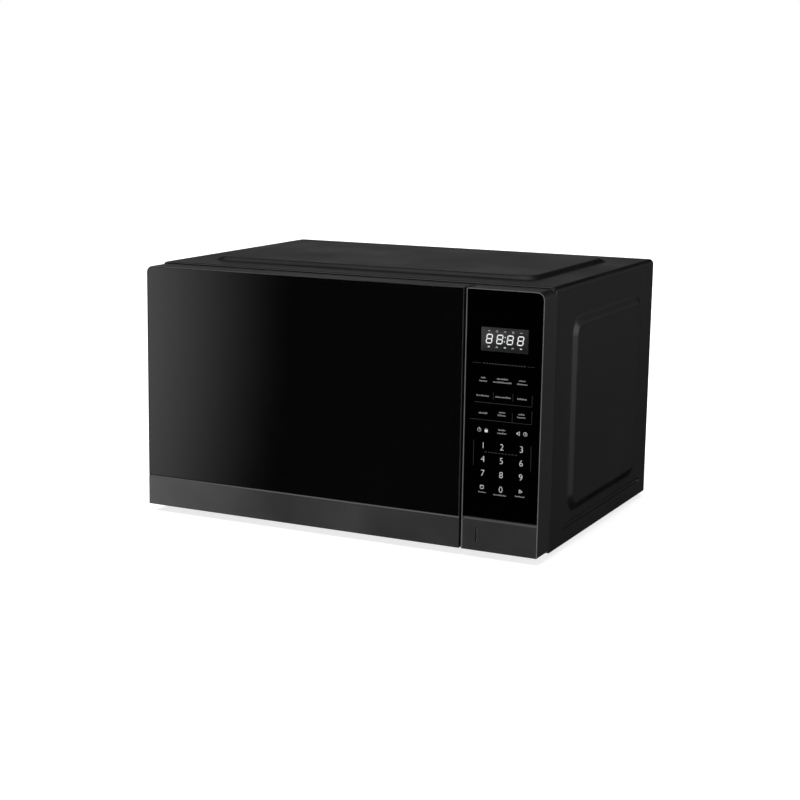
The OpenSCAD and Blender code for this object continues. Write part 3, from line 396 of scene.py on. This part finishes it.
def plate_rings(low, high, radii, front, back, edge):
    """Rings of an upright plate in the XZ plane with rounded edges."""
    turns = [math.radians(a) for a in (0, 30, 60, 90)]
    rows = [(edge * (1 - math.sin(t)), front + edge * (1 - math.cos(t))) for t in turns]
    rows += [(edge * (1 - math.sin(t)), back - edge * (1 - math.cos(t))) for t in reversed(turns)]
    return [[(x, y, z) for x, z in inset_outline(low, high, radii, inset)] for inset, y in rows]


def plate(name, low, high, radii, front, back, edge, material, body, slot, nodes):
    """Upright plate with rounded edges, from its front to its back."""
    mesh = mesh_of(name, *loft(plate_rings(low, high, radii, front, back, edge)))
    even_shading(piece(name, mesh, material, body, slot, nodes))


def softened(node, width, painted_highlight=None, where=None):
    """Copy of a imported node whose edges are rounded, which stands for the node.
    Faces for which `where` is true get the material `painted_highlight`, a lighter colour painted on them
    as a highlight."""
    source = frame["nodes"][node]
    flat_angle, sharp_angle = math.radians(0.4), math.radians(32)
    work = bmesh.new()
    work.from_mesh(source.data)
    bmesh.ops.remove_doubles(work, verts=work.verts, dist=MERGE_DISTANCE)
    bmesh.ops.dissolve_limit(work, angle_limit=flat_angle, verts=work.verts, edges=work.edges)
    sharp = [e for e in work.edges if e.is_manifold and e.calc_face_angle(0) > sharp_angle]
    bmesh.ops.bevel(work, geom=sharp, offset=width, segments=2, profile=0.5, affect="EDGES",
                    clamp_overlap=True)
    for face in work.faces:
        face.smooth = True
    mesh = bpy.data.meshes.new(node + "_rounded")
    work.to_mesh(mesh)
    work.free()
    slot = MATERIAL_SLOTS[node]
    item = piece(node + "_rounded", mesh, FINISHES[slot], source["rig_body"], slot, [node])
    if painted_highlight:
        mesh.materials.append(painted_highlight)
        for face in mesh.polygons:
            face.material_index = 1 if where(face) else 0
    even_shading(item)


# ---------------------------------------------------------------- casing

def ease(t, share=0.3):
    """0 to 1 along a slope that is straight in the middle and rounded at both ends."""
    gain = 1 / (1 - share)
    if t < share:
        return gain * t * t / (2 * share)
    if t > 1 - share:
        return 1 - gain * (1 - t) ** 2 / (2 * share)
    return gain * (t - share / 2)


def pressed_panel(border, features, put):
    """Flat panel with pressed features. Each feature has a low and a high corner, a radius, the
    width of its slope and its rise. `put` turns two panel coordinates and a height into a point."""
    steps = 12
    slope_rows = 10
    loops = [border]
    points, faces = [], []
    for low, high, radius, run, rise in features:
        rings = []
        for i in range(slope_rows + 1):
            t = i / slope_rows
            ring = inset_outline(low, high, [radius] * 4, run * t, steps)
            rings.append([put(a, b, rise * ease(t)) for a, b in ring])
        loops.append(inset_outline(low, high, [radius] * 4, 0, steps))
        append_skin(points, faces, *loft(rings, cap_first=False))
    triangles = tessellate_polygon([[Vector((a, b, 0)) for a, b in loop] for loop in loops])
    append_skin(points, faces, [put(a, b, 0) for loop in loops for a, b in loop], triangles)
    return points, faces


def casing_piece():
    """One bent sheet: two sides and the top, with their pressed fields and beads."""
    low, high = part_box("outer_casing")
    rise, run, field_radius = 4.5 * MM, 12 * MM, 24 * MM
    bend, foot_bend, rear_bend = 6 * MM, 1.5 * MM, 1.5 * MM
    flange, flange_bend, sheet = 12 * MM, 3 * MM, 1 * MM
    hem, hem_drop = 4 * MM, 1.5 * MM
    left, right, top = low.x + rise, high.x - rise, high.z - rise
    front, rear = low.y + hem, high.y
    y_end = rear - rear_bend
    arcs, edge_arcs, hem_arcs = 8, 4, 5
    points, faces = [], []

    def add(new_points, new_faces):
        append_skin(points, faces, new_points, new_faces)

    # fields and beads: low and high corner, corner radius, width of the slope, and rise
    side_low, side_high = low.z + foot_bend, top - bend
    side_field = ((-126 * MM, 39.5 * MM), (123 * MM, 270 * MM), field_radius, run, rise)
    side_bead = ((-136.75 * MM, 22.25 * MM), (144.75 * MM, 29.75 * MM), 3.75 * MM, 2.9 * MM, -2.3 * MM)
    top_field = ((-218 * MM, -138 * MM), (218 * MM, 123 * MM), field_radius, run, rise)
    side_border = [(front, side_low), (y_end, side_low), (y_end, side_high), (front, side_high)]
    top_border = [(left + bend, front), (right - bend, front), (right - bend, y_end), (left + bend, y_end)]
    add(*pressed_panel(side_border, [side_field, side_bead], lambda a, b, h: (right + h, a, b)))
    add(*pressed_panel(side_border, [side_field, side_bead], lambda a, b, h: (left - h, a, b)))
    add(*pressed_panel(top_border, [top_field], lambda a, b, h: (a, b, top + h)))

    def upper_edge(inset, radius):
        """Section of the sides and the top, drawn `inset` further in, from low left to low right."""
        line = [(left + inset, side_low)]
        for side, centre in ((-1, left + inset + radius), (1, right - inset - radius)):
            for k in range(arcs + 1):
                turn = math.radians(90 * k / arcs) if side < 0 else math.radians(90 - 90 * k / arcs)
                line.append((centre + side * radius * math.cos(turn),
                             top - inset - radius + radius * math.sin(turn)))
        return line + [(right - inset, side_low)]

    # bends between the top and the sides
    line = upper_edge(0, bend)
    for first in (1, arcs + 2):
        strip = line[first:first + arcs + 1]
        add([(x, y, z) for x, z in strip for y in (front, y_end)], grid_faces(len(strip), 2))
    # front edge of the sheet, which dips a little below the front's rim
    rows = []
    for k in range(hem_arcs + 1):
        turn = math.radians(90 * k / hem_arcs)
        inset = hem_drop * (1 - math.cos(turn))
        rows.append([(x, front - hem * math.sin(turn), z) for x, z in upper_edge(inset, bend - inset)])
    add([p for row in rows for p in row], grid_faces(len(rows), len(line)))
    # flange at the foot of each side
    for side, edge in ((-1, left), (1, right)):
        strip = [(edge - side * flange, low.z)]
        for k in range(edge_arcs + 1):
            turn = math.radians(90 * k / edge_arcs)
            strip.append((edge - side * foot_bend * (1 - math.sin(turn)),
                          low.z + foot_bend * (1 - math.cos(turn))))
        add([(x, y, z) for x, z in strip for y in (front, y_end)], grid_faces(len(strip), 2))
    # flange at the back
    rows = []
    for k in range(edge_arcs + 1):
        turn = math.radians(90 * k / edge_arcs)
        inset = rear_bend * (1 - math.cos(turn))
        y = y_end + rear_bend * math.sin(turn)
        rows.append([(x, y, z) for x, z in upper_edge(inset, bend - inset)])
    rows.append([(x, rear, z) for x, z in upper_edge(flange, flange_bend)])
    add([p for row in rows for p in row], grid_faces(len(rows), len(line)))

    mesh = mesh_of("casing_sheet", points, faces)
    highest = max(mesh.polygons, key=lambda p: p.center.z)
    if highest.normal.z < 0:
        mesh.flip_normals()
    item = piece("casing_sheet", mesh, FINISHES["casing_paint"], "chassis", "casing_paint",
                 ["outer_casing"])
    solid = item.modifiers.new("thickness", "SOLIDIFY")
    solid.thickness = sheet
    solid.offset = -1
    even_shading(item)


# ---------------------------------------------------------------- front

def glass_piece(node, name, body):
    """Glass sheet of the door or of the control panel, with its upper outer corner rounded."""
    low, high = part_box(node)
    inner, outer, edge = 0.5 * MM, 7.9 * MM, 0.35 * MM
    if body == "chassis":
        radii, material = [inner, inner, outer, inner], FINISHES["black_glass"]
    else:
        radii, material = [inner, inner, inner, outer], DOOR_GLASS
    plate(name, (low.x, low.z), (high.x, high.z), radii, low.y, high.y, edge,
          material, body, "black_glass", [node])


def strip_mesh(name, shapes, front, thick):
    """Thin upright solids on the panel from closed outlines in (x, z)."""
    points, faces = [], []
    for shape in shapes:
        append_skin(points, faces, *loft([[(x, y, z) for x, z in shape] for y in (front, front + thick)]))
    return mesh_of(name, points, faces, merge=False)


PANEL_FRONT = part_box("control_glass")[0].y
FOOT_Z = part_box("release_button")[0].z
INK = 0.03 * MM
INK_FACE = PANEL_FRONT - INK


def at_panel(x, z):
    """Point on the panel from millimetres along x and above the foot of the front."""
    return x * MM, FOOT_Z + z * MM


def bar(x0, z0, x1, z1, r=None):
    """Rounded bar between two corners on the panel, in millimetres."""
    r = min(x1 - x0, z1 - z0) / 2 * 0.98 if r is None else r
    a, b = at_panel(x0, z0), at_panel(x1, z1)
    return outline(a, b, [r * MM] * 4, 4)


def stroke(path, width, closed=False):
    """Outlines of round-ended bars along a line of points, in millimetres."""
    shapes = []
    ends = path[1:] + path[:1] if closed else path[1:]
    for (x0, z0), (x1, z1) in zip(path, ends):
        turn = math.atan2(z1 - z0, x1 - x0)
        shape = []
        for (x, z), start in (((x1, z1), -90), ((x0, z0), 90)):
            for k in range(5):
                a = turn + math.radians(start + 45 * k)
                shape.append(at_panel(x + width / 2 * math.cos(a), z + width / 2 * math.sin(a)))
        shapes.append(shape)
    return shapes


PRINT_RANDOM = random.Random(4)


def label(x0, z, x1, height=1.9):
    """Row of small blocks around a height on the panel, in place of a printed word."""
    blocks = []
    low = z - height / 2
    x = x0
    while x < x1 - 0.4:
        wide = PRINT_RANDOM.uniform(0.55, 1.0)
        tall = height * PRINT_RANDOM.choice((0.7, 0.7, 1.0))
        blocks.append(bar(x, low, min(x + wide, x1), low + tall, 0.2))
        x += wide + 0.45
    return blocks


def circle_path(x, z, r, start=0, sweep=360, steps=14):
    """Points along an arc, in millimetres and degrees."""
    turns = [math.radians(start + sweep * k / steps) for k in range(steps + 1)]
    return [(x + r * math.cos(t), z + r * math.sin(t)) for t in turns]


def segment_digit(x, z, height, width, slant, thick):
    """All seven segments of one display digit, as slanted hexagonal bars."""
    half_w, half_h = (width - thick) / 2, (height - thick) / 2
    gap = 0.12 * thick
    shapes = []

    def put(u, v):
        return at_panel(x + u + v * slant, z + v)

    for v in (-half_h, 0, half_h):
        a, b = -half_w + gap, half_w - gap
        shapes.append([put(a, v), put(a + thick / 2, v - thick / 2), put(b - thick / 2, v - thick / 2),
                       put(b, v), put(b - thick / 2, v + thick / 2), put(a + thick / 2, v + thick / 2)])
    for u in (-half_w, half_w):
        for a, b in ((-half_h + gap, -gap), (gap, half_h - gap)):
            shapes.append([put(u, a), put(u + thick / 2, a + thick / 2), put(u + thick / 2, b - thick / 2),
                           put(u, b), put(u - thick / 2, b - thick / 2), put(u - thick / 2, a + thick / 2)])
    return shapes


def ink(name, shapes, material):
    """Layer of ink on the panel's glass."""
    piece(name, strip_mesh(name, shapes, INK_FACE, INK), material, "chassis", "dark_plastic")


def display_pieces():
    """Display window with a clock of four lit digits and two rows of small marks."""
    low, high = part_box("display_module")
    window = outline((low.x + MM, low.z + 0.9 * MM), (high.x - MM, high.z - 0.3 * MM), [0.6 * MM] * 4, 4)
    thin = 0.02 * MM
    face = strip_mesh("display_window", [window], PANEL_FRONT - thin, thin)
    piece("display_window", face, DISPLAY_FACE, "chassis", "dark_plastic")
    middle, tall, wide, slant, thick = 242.2, 10.6, 7.4, 0.14, 1.15
    digits = []
    for x in (193.1, 205.4, 217.6, 229.8):
        digits += segment_digit(x, middle, tall, wide, slant, thick)
    dot = 0.65
    for x, z in ((211.8, 244.9), (210.8, 239.9)):
        digits.append(bar(x - dot, z - dot, x + dot, z + dot))
    ink("display_digits", digits, LIT_DIGIT)
    upper, lower = 250.9, 233.4
    marks = []
    for i, x in enumerate((192.6, 202.0, 211.5, 220.8, 230.5)):
        if i % 2:
            marks += stroke(circle_path(x, upper, 1.0, steps=8), 0.45)
            marks += stroke([(x - 1.1, lower - 0.8), (x, lower + 0.8), (x + 1.1, lower - 0.8)], 0.45)
        else:
            marks += stroke([(x - 1.1, upper), (x + 1.1, upper)], 0.5)
            marks.append(bar(x - 1.2, lower - 0.7, x + 1.2, lower + 0.7, 0.3))
    ink("display_marks", marks, DISPLAY_MARK)


KEY_COLUMNS = (189.0, 211.2, 234.5)


def number(text, x, z, height):
    """Thin mesh of one number, centred on a point of the panel in millimetres."""
    curve = bpy.data.curves.new("number_" + text, "FONT")
    curve.body = text
    curve.align_x = "CENTER"
    curve.align_y = "CENTER"
    # height of a figure as a share of the font's size, and how much its strokes are slimmed
    cap_share, slimming = 0.73, 0.2 * MM
    curve.size = height * MM / cap_share
    curve.extrude = INK / 2
    curve.offset = -slimming
    curve.resolution_u = 4
    shape = bpy.data.objects.new("number_" + text, curve)
    bpy.context.scene.collection.objects.link(shape)
    px, pz = at_panel(x, z)
    upright = Matrix.Rotation(math.radians(90), 4, "X")
    shape.matrix_world = Matrix.Translation((px, INK_FACE + INK / 2, pz)) @ upright
    bpy.context.view_layer.update()
    mesh = bpy.data.meshes.new_from_object(shape.evaluated_get(bpy.context.evaluated_depsgraph_get()))
    mesh.transform(shape.matrix_world)
    bpy.data.objects.remove(shape)
    return mesh


def keypad_numbers():
    """Numbers 0 to 9 of the keypad, joined into one piece."""
    rows, tall = (121.6, 106.1, 90.1, 73.5), 7.6
    work = bmesh.new()
    for value in range(10):
        row, column = (3, 1) if value == 0 else divmod(value - 1, 3)
        work.from_mesh(number(str(value), KEY_COLUMNS[column], rows[row], tall))
    mesh = bpy.data.meshes.new("keypad_numbers")
    work.to_mesh(mesh)
    work.free()
    piece("keypad_numbers", mesh, WHITE_PRINT_GLOW, "chassis", "dark_plastic")


def key_marks():
    """Printed marks of the keys, in millimetres: rows of blocks for words, signs and faint lines."""
    bars = []
    for x0, x1 in ((182.5, 191.6), (199.0, 221.4), (227.0, 239.5)):
        middle = (x0 + x1) / 2
        half_upper = (x1 - x0) / 2 * 0.62
        bars += label(middle - half_upper, 198.4, middle + half_upper) + label(x0, 194.7, x1)
    for x0, x1 in ((179.6, 194.3), (201.9, 219.8), (228.0, 239.1)):
        bars += label(x0, 178.2, x1)
    bars += label(182.6, 158.6, 192.8)
    for x in (210.5, 233.4):
        bars += label(x - 3.6, 161.2, x + 3.6) + label(x - 5.0, 157.8, x + 5.0)
    bars += label(206.6, 141.4, 214.8) + label(205.4, 137.7, 216.0)
    bars += label(202.6, 67.4, 218.6, 1.6) + label(184.6, 68.6, 194.4, 1.5) + label(228.6, 68.6, 240.0, 1.5)
    ink("key_labels", bars, GREY_PRINT_GLOW)

    signs = []
    # power sign and lock sign, then mute sign and timer sign
    signs += stroke(circle_path(183.9, 139.4, 2.1, 125, 290), 0.5)
    signs += stroke([(183.9, 139.6), (183.9, 142.2)], 0.5)
    signs += [bar(190.4, 137.1, 194.0, 140.1, 0.3)]
    signs += stroke(circle_path(192.2, 140.2, 1.2, 0, 180), 0.45)
    signs += [bar(228.2, 138.6, 229.6, 140.4, 0.3)]
    signs += stroke([(229.8, 138.6), (231.6, 137.4), (231.6, 141.7), (229.8, 140.5)], 0.45)
    signs += stroke(circle_path(238.4, 139.4, 2.1), 0.45)
    signs += stroke([(238.4, 140.9), (238.4, 139.4), (239.5, 138.8)], 0.4)
    # stop: a square, start: a triangle
    signs += stroke([(186.8, 72.6), (190.4, 72.6), (190.4, 76.2), (186.8, 76.2)], 0.6, True)
    signs += stroke([(233.2, 72.6), (236.8, 74.4), (233.2, 76.2)], 0.6, True)
    ink("key_signs", signs, WHITE_PRINT_GLOW)

    lines = [bar(174.0, 214.3, 184.7, 214.7, 0.1), bar(239.0, 214.3, 247.0, 214.7, 0.1)]
    lines += [bar(186.5 + 3.4 * i, 213.9, 188.9 + 3.4 * i, 215.1) for i in range(15)]
    lines += [bar(177.0, 170.3, 245.0, 170.7, 0.1), bar(172.0, 150.7, 245.6, 151.1, 0.1)]
    lines += [bar(199.2, 174.5, 199.6, 183.0, 0.1), bar(222.5, 174.5, 222.9, 183.0, 0.1)]
    lines += [bar(245.0, 170.4, 245.4, 183.3, 0.1), bar(222.3, 150.9, 222.7, 162.0, 0.1)]
    lines += [bar(245.2, 150.9, 245.6, 165.7, 0.1)]
    lines += [bar(x - 0.2, 98.2, x + 0.2, 126.5, 0.1) for x in (177.5, 245.8)]
    lines += [bar(191.0 + 4.0 * i, 114.3, 193.6 + 4.0 * i, 115.2) for i in range(10)]
    ink("key_lines", lines, FAINT_PRINT_GLOW)


def front_pieces():
    """Glass, frames, band and button of the front, and the print on its panel."""
    glass_piece("door_glass", "door_pane", "door")
    glass_piece("control_glass", "panel_pane", "chassis")
    # The front faces of the rims get a painted highlight: on the door frame only near the top, on the panel
    # frame all round.
    rim_depth, rim_corner = 0.32 * MM, 9 * MM
    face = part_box("door_frame")[0].y + rim_depth
    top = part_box("door_frame")[1].z - rim_corner
    softened("door_frame", 0.35 * MM, RIM_HIGHLIGHT, lambda f: f.center.y < face and f.center.z > top)
    softened("control_panel_frame", 0.35 * MM, RIM_HIGHLIGHT, lambda f: f.center.y < face)
    softened("door_band", 0.2 * MM)
    softened("release_button", 0.3 * MM)
    # A thin black sheet just inside the mouth of the button's slot paints the shade in the slot.
    slot_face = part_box("release_button")[0].y + 0.06 * MM
    slot_shade_sheet = strip_mesh("button_slot_painted_shade", [bar(182.52, 10.62, 183.78, 27.98, 0.2)], slot_face, INK)
    piece("button_slot_painted_shade", slot_shade_sheet, SLOT_SHADE, "button", "dark_trim")
    display_pieces()
    keypad_numbers()
    key_marks()


# ---------------------------------------------------------------- door, inside

def perforated_panel():
    """Inner door panel: a flat sheet whose window is a field of small round holes."""
    low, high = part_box("door_inner_panel")
    window_low, window_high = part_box("inner_window")
    front, back = low.y, low.y + MM
    pitch, hole = 3 * MM, 1.05 * MM
    margin = 5 * MM
    columns = int((window_high.x - window_low.x - 2 * margin) / pitch)
    rows = int((window_high.z - window_low.z - 2 * margin) / pitch)
    x0 = (window_low.x + window_high.x - columns * pitch) / 2
    z0 = (window_low.z + window_high.z - rows * pitch) / 2
    square = [(-1, -1), (0, -1), (1, -1), (1, 0), (1, 1), (0, 1), (-1, 1), (-1, 0)]
    sides = len(square)
    points, faces = [], []
    # one square cell around each hole
    for i in range(columns):
        for j in range(rows):
            cx, cz = x0 + (i + 0.5) * pitch, z0 + (j + 0.5) * pitch
            first = len(points)
            front_edge, front_hole, back_edge, back_hole = (first + sides * r for r in range(4))
            for y in (front, back):
                points += [(cx + u * pitch / 2, y, cz + v * pitch / 2) for u, v in square]
                points += [(cx + hole * u / math.hypot(u, v), y, cz + hole * v / math.hypot(u, v))
                           for u, v in square]
            for k in range(sides):
                n = (k + 1) % sides
                faces.append((front_edge + k, front_edge + n, front_hole + n, front_hole + k))
                faces.append((back_edge + n, back_edge + k, back_hole + k, back_hole + n))
                faces.append((front_hole + k, front_hole + n, back_hole + n, back_hole + k))
    # plain sheet between the cells and the rim, then the rim's own edge
    x1, z1 = x0 + columns * pitch, z0 + rows * pitch
    across, upward = ([pitch / 2 * k for k in range(2 * n)] for n in (columns, rows))
    field = [(x0 + s, z0) for s in across] + [(x1, z0 + s) for s in upward]
    field += [(x1 - s, z1) for s in across] + [(x0, z1 - s) for s in upward]
    rim = outline((low.x, low.z), (high.x, high.z), [3.8 * MM] * 4)
    triangles = tessellate_polygon([[Vector((a, b, 0)) for a, b in loop] for loop in (rim, field)])
    for y in (front, back):
        append_skin(points, faces, [(a, y, b) for a, b in rim + field], triangles)
    first = len(points)
    count = len(rim)
    points += [(a, y, b) for y in (front, back) for a, b in rim]
    faces += [(first + k, first + (k + 1) % count, first + count + (k + 1) % count, first + count + k)
              for k in range(count)]
    mesh = mesh_of("perforated_panel", points, faces)
    for face in mesh.polygons:
        face.use_smooth = False
    piece("perforated_panel", mesh, FINISHES["panel_steel"], "door", "panel_steel", ["door_inner_panel"])


# ---------------------------------------------------------------- turntable

def tray_piece():
    """Clear glass tray: a shallow dish with a rolled rim, raised rings and three lugs below."""
    low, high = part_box("glass_tray")
    cx, cy = (low.x + high.x) / 2, (low.y + high.y) / 2
    radius = (high.x - low.x) / 2
    base, top = low.z + 5.5 * MM, high.z
    thick = 5 * MM
    around, curve_steps = 144, 6
    curve_run, curve_width, curve_rise = 20 * MM, 19.2 * MM, 11 * MM
    under = [(0.0, base), (radius * 0.3, base), (radius * 0.62, base), (radius - curve_run, base)]
    for k in range(1, curve_steps + 1):
        turn = math.radians(90 * k / curve_steps)
        under.append((radius - curve_run + curve_width * math.sin(turn) ** 0.9,
                      base + curve_rise * (1 - math.cos(turn))))
    rim = [(radius, top - 2.2 * MM), (radius - 0.3 * MM, top - 0.6 * MM), (radius - 1.4 * MM, top),
           (radius - 2.8 * MM, top - 0.5 * MM)]
    over = [(radius - 8.0 * MM, base + 9.2 * MM), (radius - 14 * MM, base + 6.4 * MM),
            (radius - 21 * MM, base + thick)]
    # two low raised rings on the dish
    ring_rows = [0.62, 0.605, 0.59, 0.575, 0.32, 0.305, 0.29, 0.275]
    lift = [0, 0.5, 0.5, 0, 0, 0.5, 0.5, 0]
    over += [(radius * r, base + thick + h * MM) for r, h in zip(ring_rows, lift)] + [(0.0, base + thick)]
    profile = under + rim + over
    points, faces = [], []
    for i in range(around):
        a = 2 * math.pi * i / around
        points += [(cx + r * math.cos(a), cy + r * math.sin(a), z) for r, z in profile]
    rows = len(profile)
    for i in range(around):
        n = (i + 1) % around
        faces += [(i * rows + k, n * rows + k, n * rows + k + 1, i * rows + k + 1) for k in range(rows - 1)]
    mesh = mesh_of("turntable_dish", points, faces)
    piece("turntable_dish", mesh, FINISHES["clear_glass"], "tray", "clear_glass", ["glass_tray"])
    # lugs under the middle, whose lower ends are rounded
    lug_low, lug_high, lug_corners = (13 * MM, -3.5 * MM), (21 * MM, 3.5 * MM), [2 * MM] * 4
    points, faces = [], []
    for angle in (60, 180, 300):
        turn = Matrix.Rotation(math.radians(angle), 3, "Z")
        rings = []
        for height, slim in ((0.3, 0), (-4.4, 0), (-5.2, 0.4), (-5.5, 1.2)):
            ring = inset_outline(lug_low, lug_high, lug_corners, slim * MM, 5)
            place = Vector((cx, cy, base + height * MM))
            rings.append([turn @ Vector((a, b, 0)) + place for a, b in ring])
        append_skin(points, faces, *loft(rings))
    piece("dish_lugs", mesh_of("dish_lugs", points, faces), FINISHES["clear_glass"], "tray", "clear_glass")


# ---------------------------------------------------------------- springs

def helix(name, start, axis, radius, wire, turns, length, body, nodes):
    """Compression spring with closed ends, as a mesh tube of radius `wire` along a helix."""
    around, sides = 28, 8
    end_share, end_climb = 0.12, 0.14
    steps = int(turns * around)
    axis = Vector(axis)
    side = axis.orthogonal().normalized()
    other = axis.cross(side)
    rings = []
    for i in range(steps + 1):
        t = i / steps
        a = 2 * math.pi * turns * t
        opened = min(max((t - end_share) / (1 - 2 * end_share), 0), 1)
        climb = wire + (length - 2 * wire) * ((1 - end_climb) * opened + end_climb * t)
        out = side * math.cos(a) + other * math.sin(a)
        centre = Vector(start) + axis * climb + out * radius
        rings.append([centre + out * wire * math.cos(b) + axis * wire * math.sin(b)
                      for b in (2 * math.pi * k / sides for k in range(sides))])
    mesh = mesh_of(name, *loft(rings), merge=False)
    return piece(name, mesh, FINISHES["spring_steel"], body, "spring_steel", nodes)


def spring_pieces():
    """Springs behind the release button and under the latch, each with a mesh of its own."""
    low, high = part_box("button_springs")
    radius, wire = 4 * MM, 0.4 * MM
    length = high.y - low.y
    for i, x in enumerate((low.x + radius + wire, high.x - radius - wire)):
        spring = helix(f"button_spring_{i + 1}", (x, low.y, (low.z + high.z) / 2), (0, 1, 0), radius, wire,
                       6, length, "chassis", ["button_springs"])
        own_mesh(spring)
    low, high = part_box("latch_spring")
    centre = (low + high) / 2
    spring = helix("latch_return_spring", (centre.x, centre.y, low.z), (0, 0, 1), 3.4 * MM, 0.45 * MM,
                   8, high.z - low.z, "door", ["latch_spring"])
    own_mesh(spring)


# ---------------------------------------------------------------- studio

def add_camera():
    """Camera to the right of the front and a little above, with the object low left of its axis."""
    azimuth, elevation, roll = (math.radians(a) for a in (28.044, 10.793, 0.423))
    aim = Vector((-0.0996, -0.0596, 0.1244))
    distance = 2.1805
    back = Vector((math.sin(azimuth) * math.cos(elevation), -math.cos(azimuth) * math.cos(elevation),
                   math.sin(elevation)))
    level = Vector((math.cos(azimuth), math.sin(azimuth), 0))
    upright = back.cross(level)
    right = level * math.cos(roll) + upright * math.sin(roll)
    up = upright * math.cos(roll) - level * math.sin(roll)
    data = bpy.data.cameras.new("camera")
    data.lens, data.sensor_width = 77.34, 36
    data.shift_x, data.shift_y = 0.1, 0.005
    camera = bpy.data.objects.new("camera", data)
    turn = Matrix((right, up, back)).transposed().to_4x4()
    camera.matrix_world = Matrix.Translation(aim + back * distance) @ turn
    bpy.context.scene.collection.objects.link(camera)
    bpy.context.scene.camera = camera


def direction(azimuth, elevation):
    """Unit vector from two angles in degrees. Azimuth 0 points out of the front, 90 to the left."""
    a, e = math.radians(azimuth), math.radians(elevation)
    return (-math.sin(a) * math.cos(e), -math.cos(a) * math.cos(e), math.sin(e))


# Soft boxes: azimuth and elevation of the middle, the angle from there at which the light ends and
# the angle within which it is full, all in degrees, and the strength.
SOFT_BOXES = (
    (62, -6, 32.9, 14, 5.4),
    (0, 86, 45, 20, 0.9),
    (66, 60, 26, 10, 1.5),
    (140, 60, 27, 10, 0.06),
    (149, 1, 28, 12, 0.14),
    (-140, 6, 34, 10, 0.16),
    (-105, 10, 26, 8, 1.5),
    (-70, 0, 30, 10, 1.0),
)


def add_world():
    """White to the camera, and a dark studio with soft boxes to everything else."""
    world = bpy.data.worlds.new("studio")
    world.use_nodes = True
    tree = world.node_tree
    tree.nodes.clear()
    look = tree.nodes.new("ShaderNodeTexCoord").outputs["Generated"]
    total = None
    for azimuth, elevation, outer, inner, strength in SOFT_BOXES:
        along = tree.nodes.new("ShaderNodeVectorMath")
        along.operation = "DOT_PRODUCT"
        along.inputs[1].default_value = direction(azimuth, elevation)
        tree.links.new(look, along.inputs[0])
        fall = tree.nodes.new("ShaderNodeMapRange")
        fall.interpolation_type = "SMOOTHSTEP"
        fall.inputs["From Min"].default_value = math.cos(math.radians(outer))
        fall.inputs["From Max"].default_value = math.cos(math.radians(inner))
        fall.inputs["To Max"].default_value = strength
        tree.links.new(along.outputs["Value"], fall.inputs["Value"])
        if total is None:
            total = fall.outputs[0]
        else:
            plus = tree.nodes.new("ShaderNodeMath")
            tree.links.new(total, plus.inputs[0])
            tree.links.new(fall.outputs[0], plus.inputs[1])
            total = plus.outputs[0]
    studio = tree.nodes.new("ShaderNodeBackground")
    tree.links.new(total, studio.inputs["Strength"])
    studio.inputs["Color"].default_value = (1, 1, 1, 1)
    backdrop = tree.nodes.new("ShaderNodeBackground")
    backdrop.inputs["Color"].default_value = (1, 1, 1, 1)
    ray = tree.nodes.new("ShaderNodeLightPath")
    mix = tree.nodes.new("ShaderNodeMixShader")
    tree.links.new(ray.outputs["Is Camera Ray"], mix.inputs[0])
    tree.links.new(studio.outputs[0], mix.inputs[1])
    tree.links.new(backdrop.outputs[0], mix.inputs[2])
    output = tree.nodes.new("ShaderNodeOutputWorld")
    tree.links.new(mix.outputs[0], output.inputs["Surface"])
    bpy.context.scene.world = world


def add_floor():
    """Pale floor that lights the object softly and isn't mirrored in it."""
    half = 30
    mesh = bpy.data.meshes.new("floor")
    mesh.from_pydata([(-half, -half, 0), (half, -half, 0), (half, half, 0), (-half, half, 0)], [],
                     [(0, 1, 2, 3)])
    floor = bpy.data.objects.new("floor", mesh)
    bpy.context.scene.collection.objects.link(floor)
    s = Shader("pale_floor")
    s.feed(s.surface, Base_Color=(0.55, 0.55, 0.55, 1), Roughness=0.9, Specular_IOR_Level=0.0,
           Emission_Color=(1, 1, 1, 1), Emission_Strength=0.78)
    mesh.materials.append(s.material)
    floor.visible_glossy = False


def add_key_light():
    """Broad light from above and in front, which only lights and isn't mirrored."""
    data = bpy.data.lights.new("key_light", "SUN")
    data.energy = 2.9
    data.angle = math.radians(50)
    light = bpy.data.objects.new("key_light", data)
    light.rotation_mode = "QUATERNION"
    towards = Vector((0.25, 0.35, -1)).normalized()
    light.rotation_quaternion = towards.to_track_quat("-Z", "Y")
    light.visible_glossy = False
    bpy.context.scene.collection.objects.link(light)


add_camera()
add_world()
add_floor()
add_key_light()
bpy.context.scene.view_settings.view_transform = "Standard"

finish_cad_nodes()
casing_piece()
front_pieces()
perforated_panel()
tray_piece()
spring_pieces()
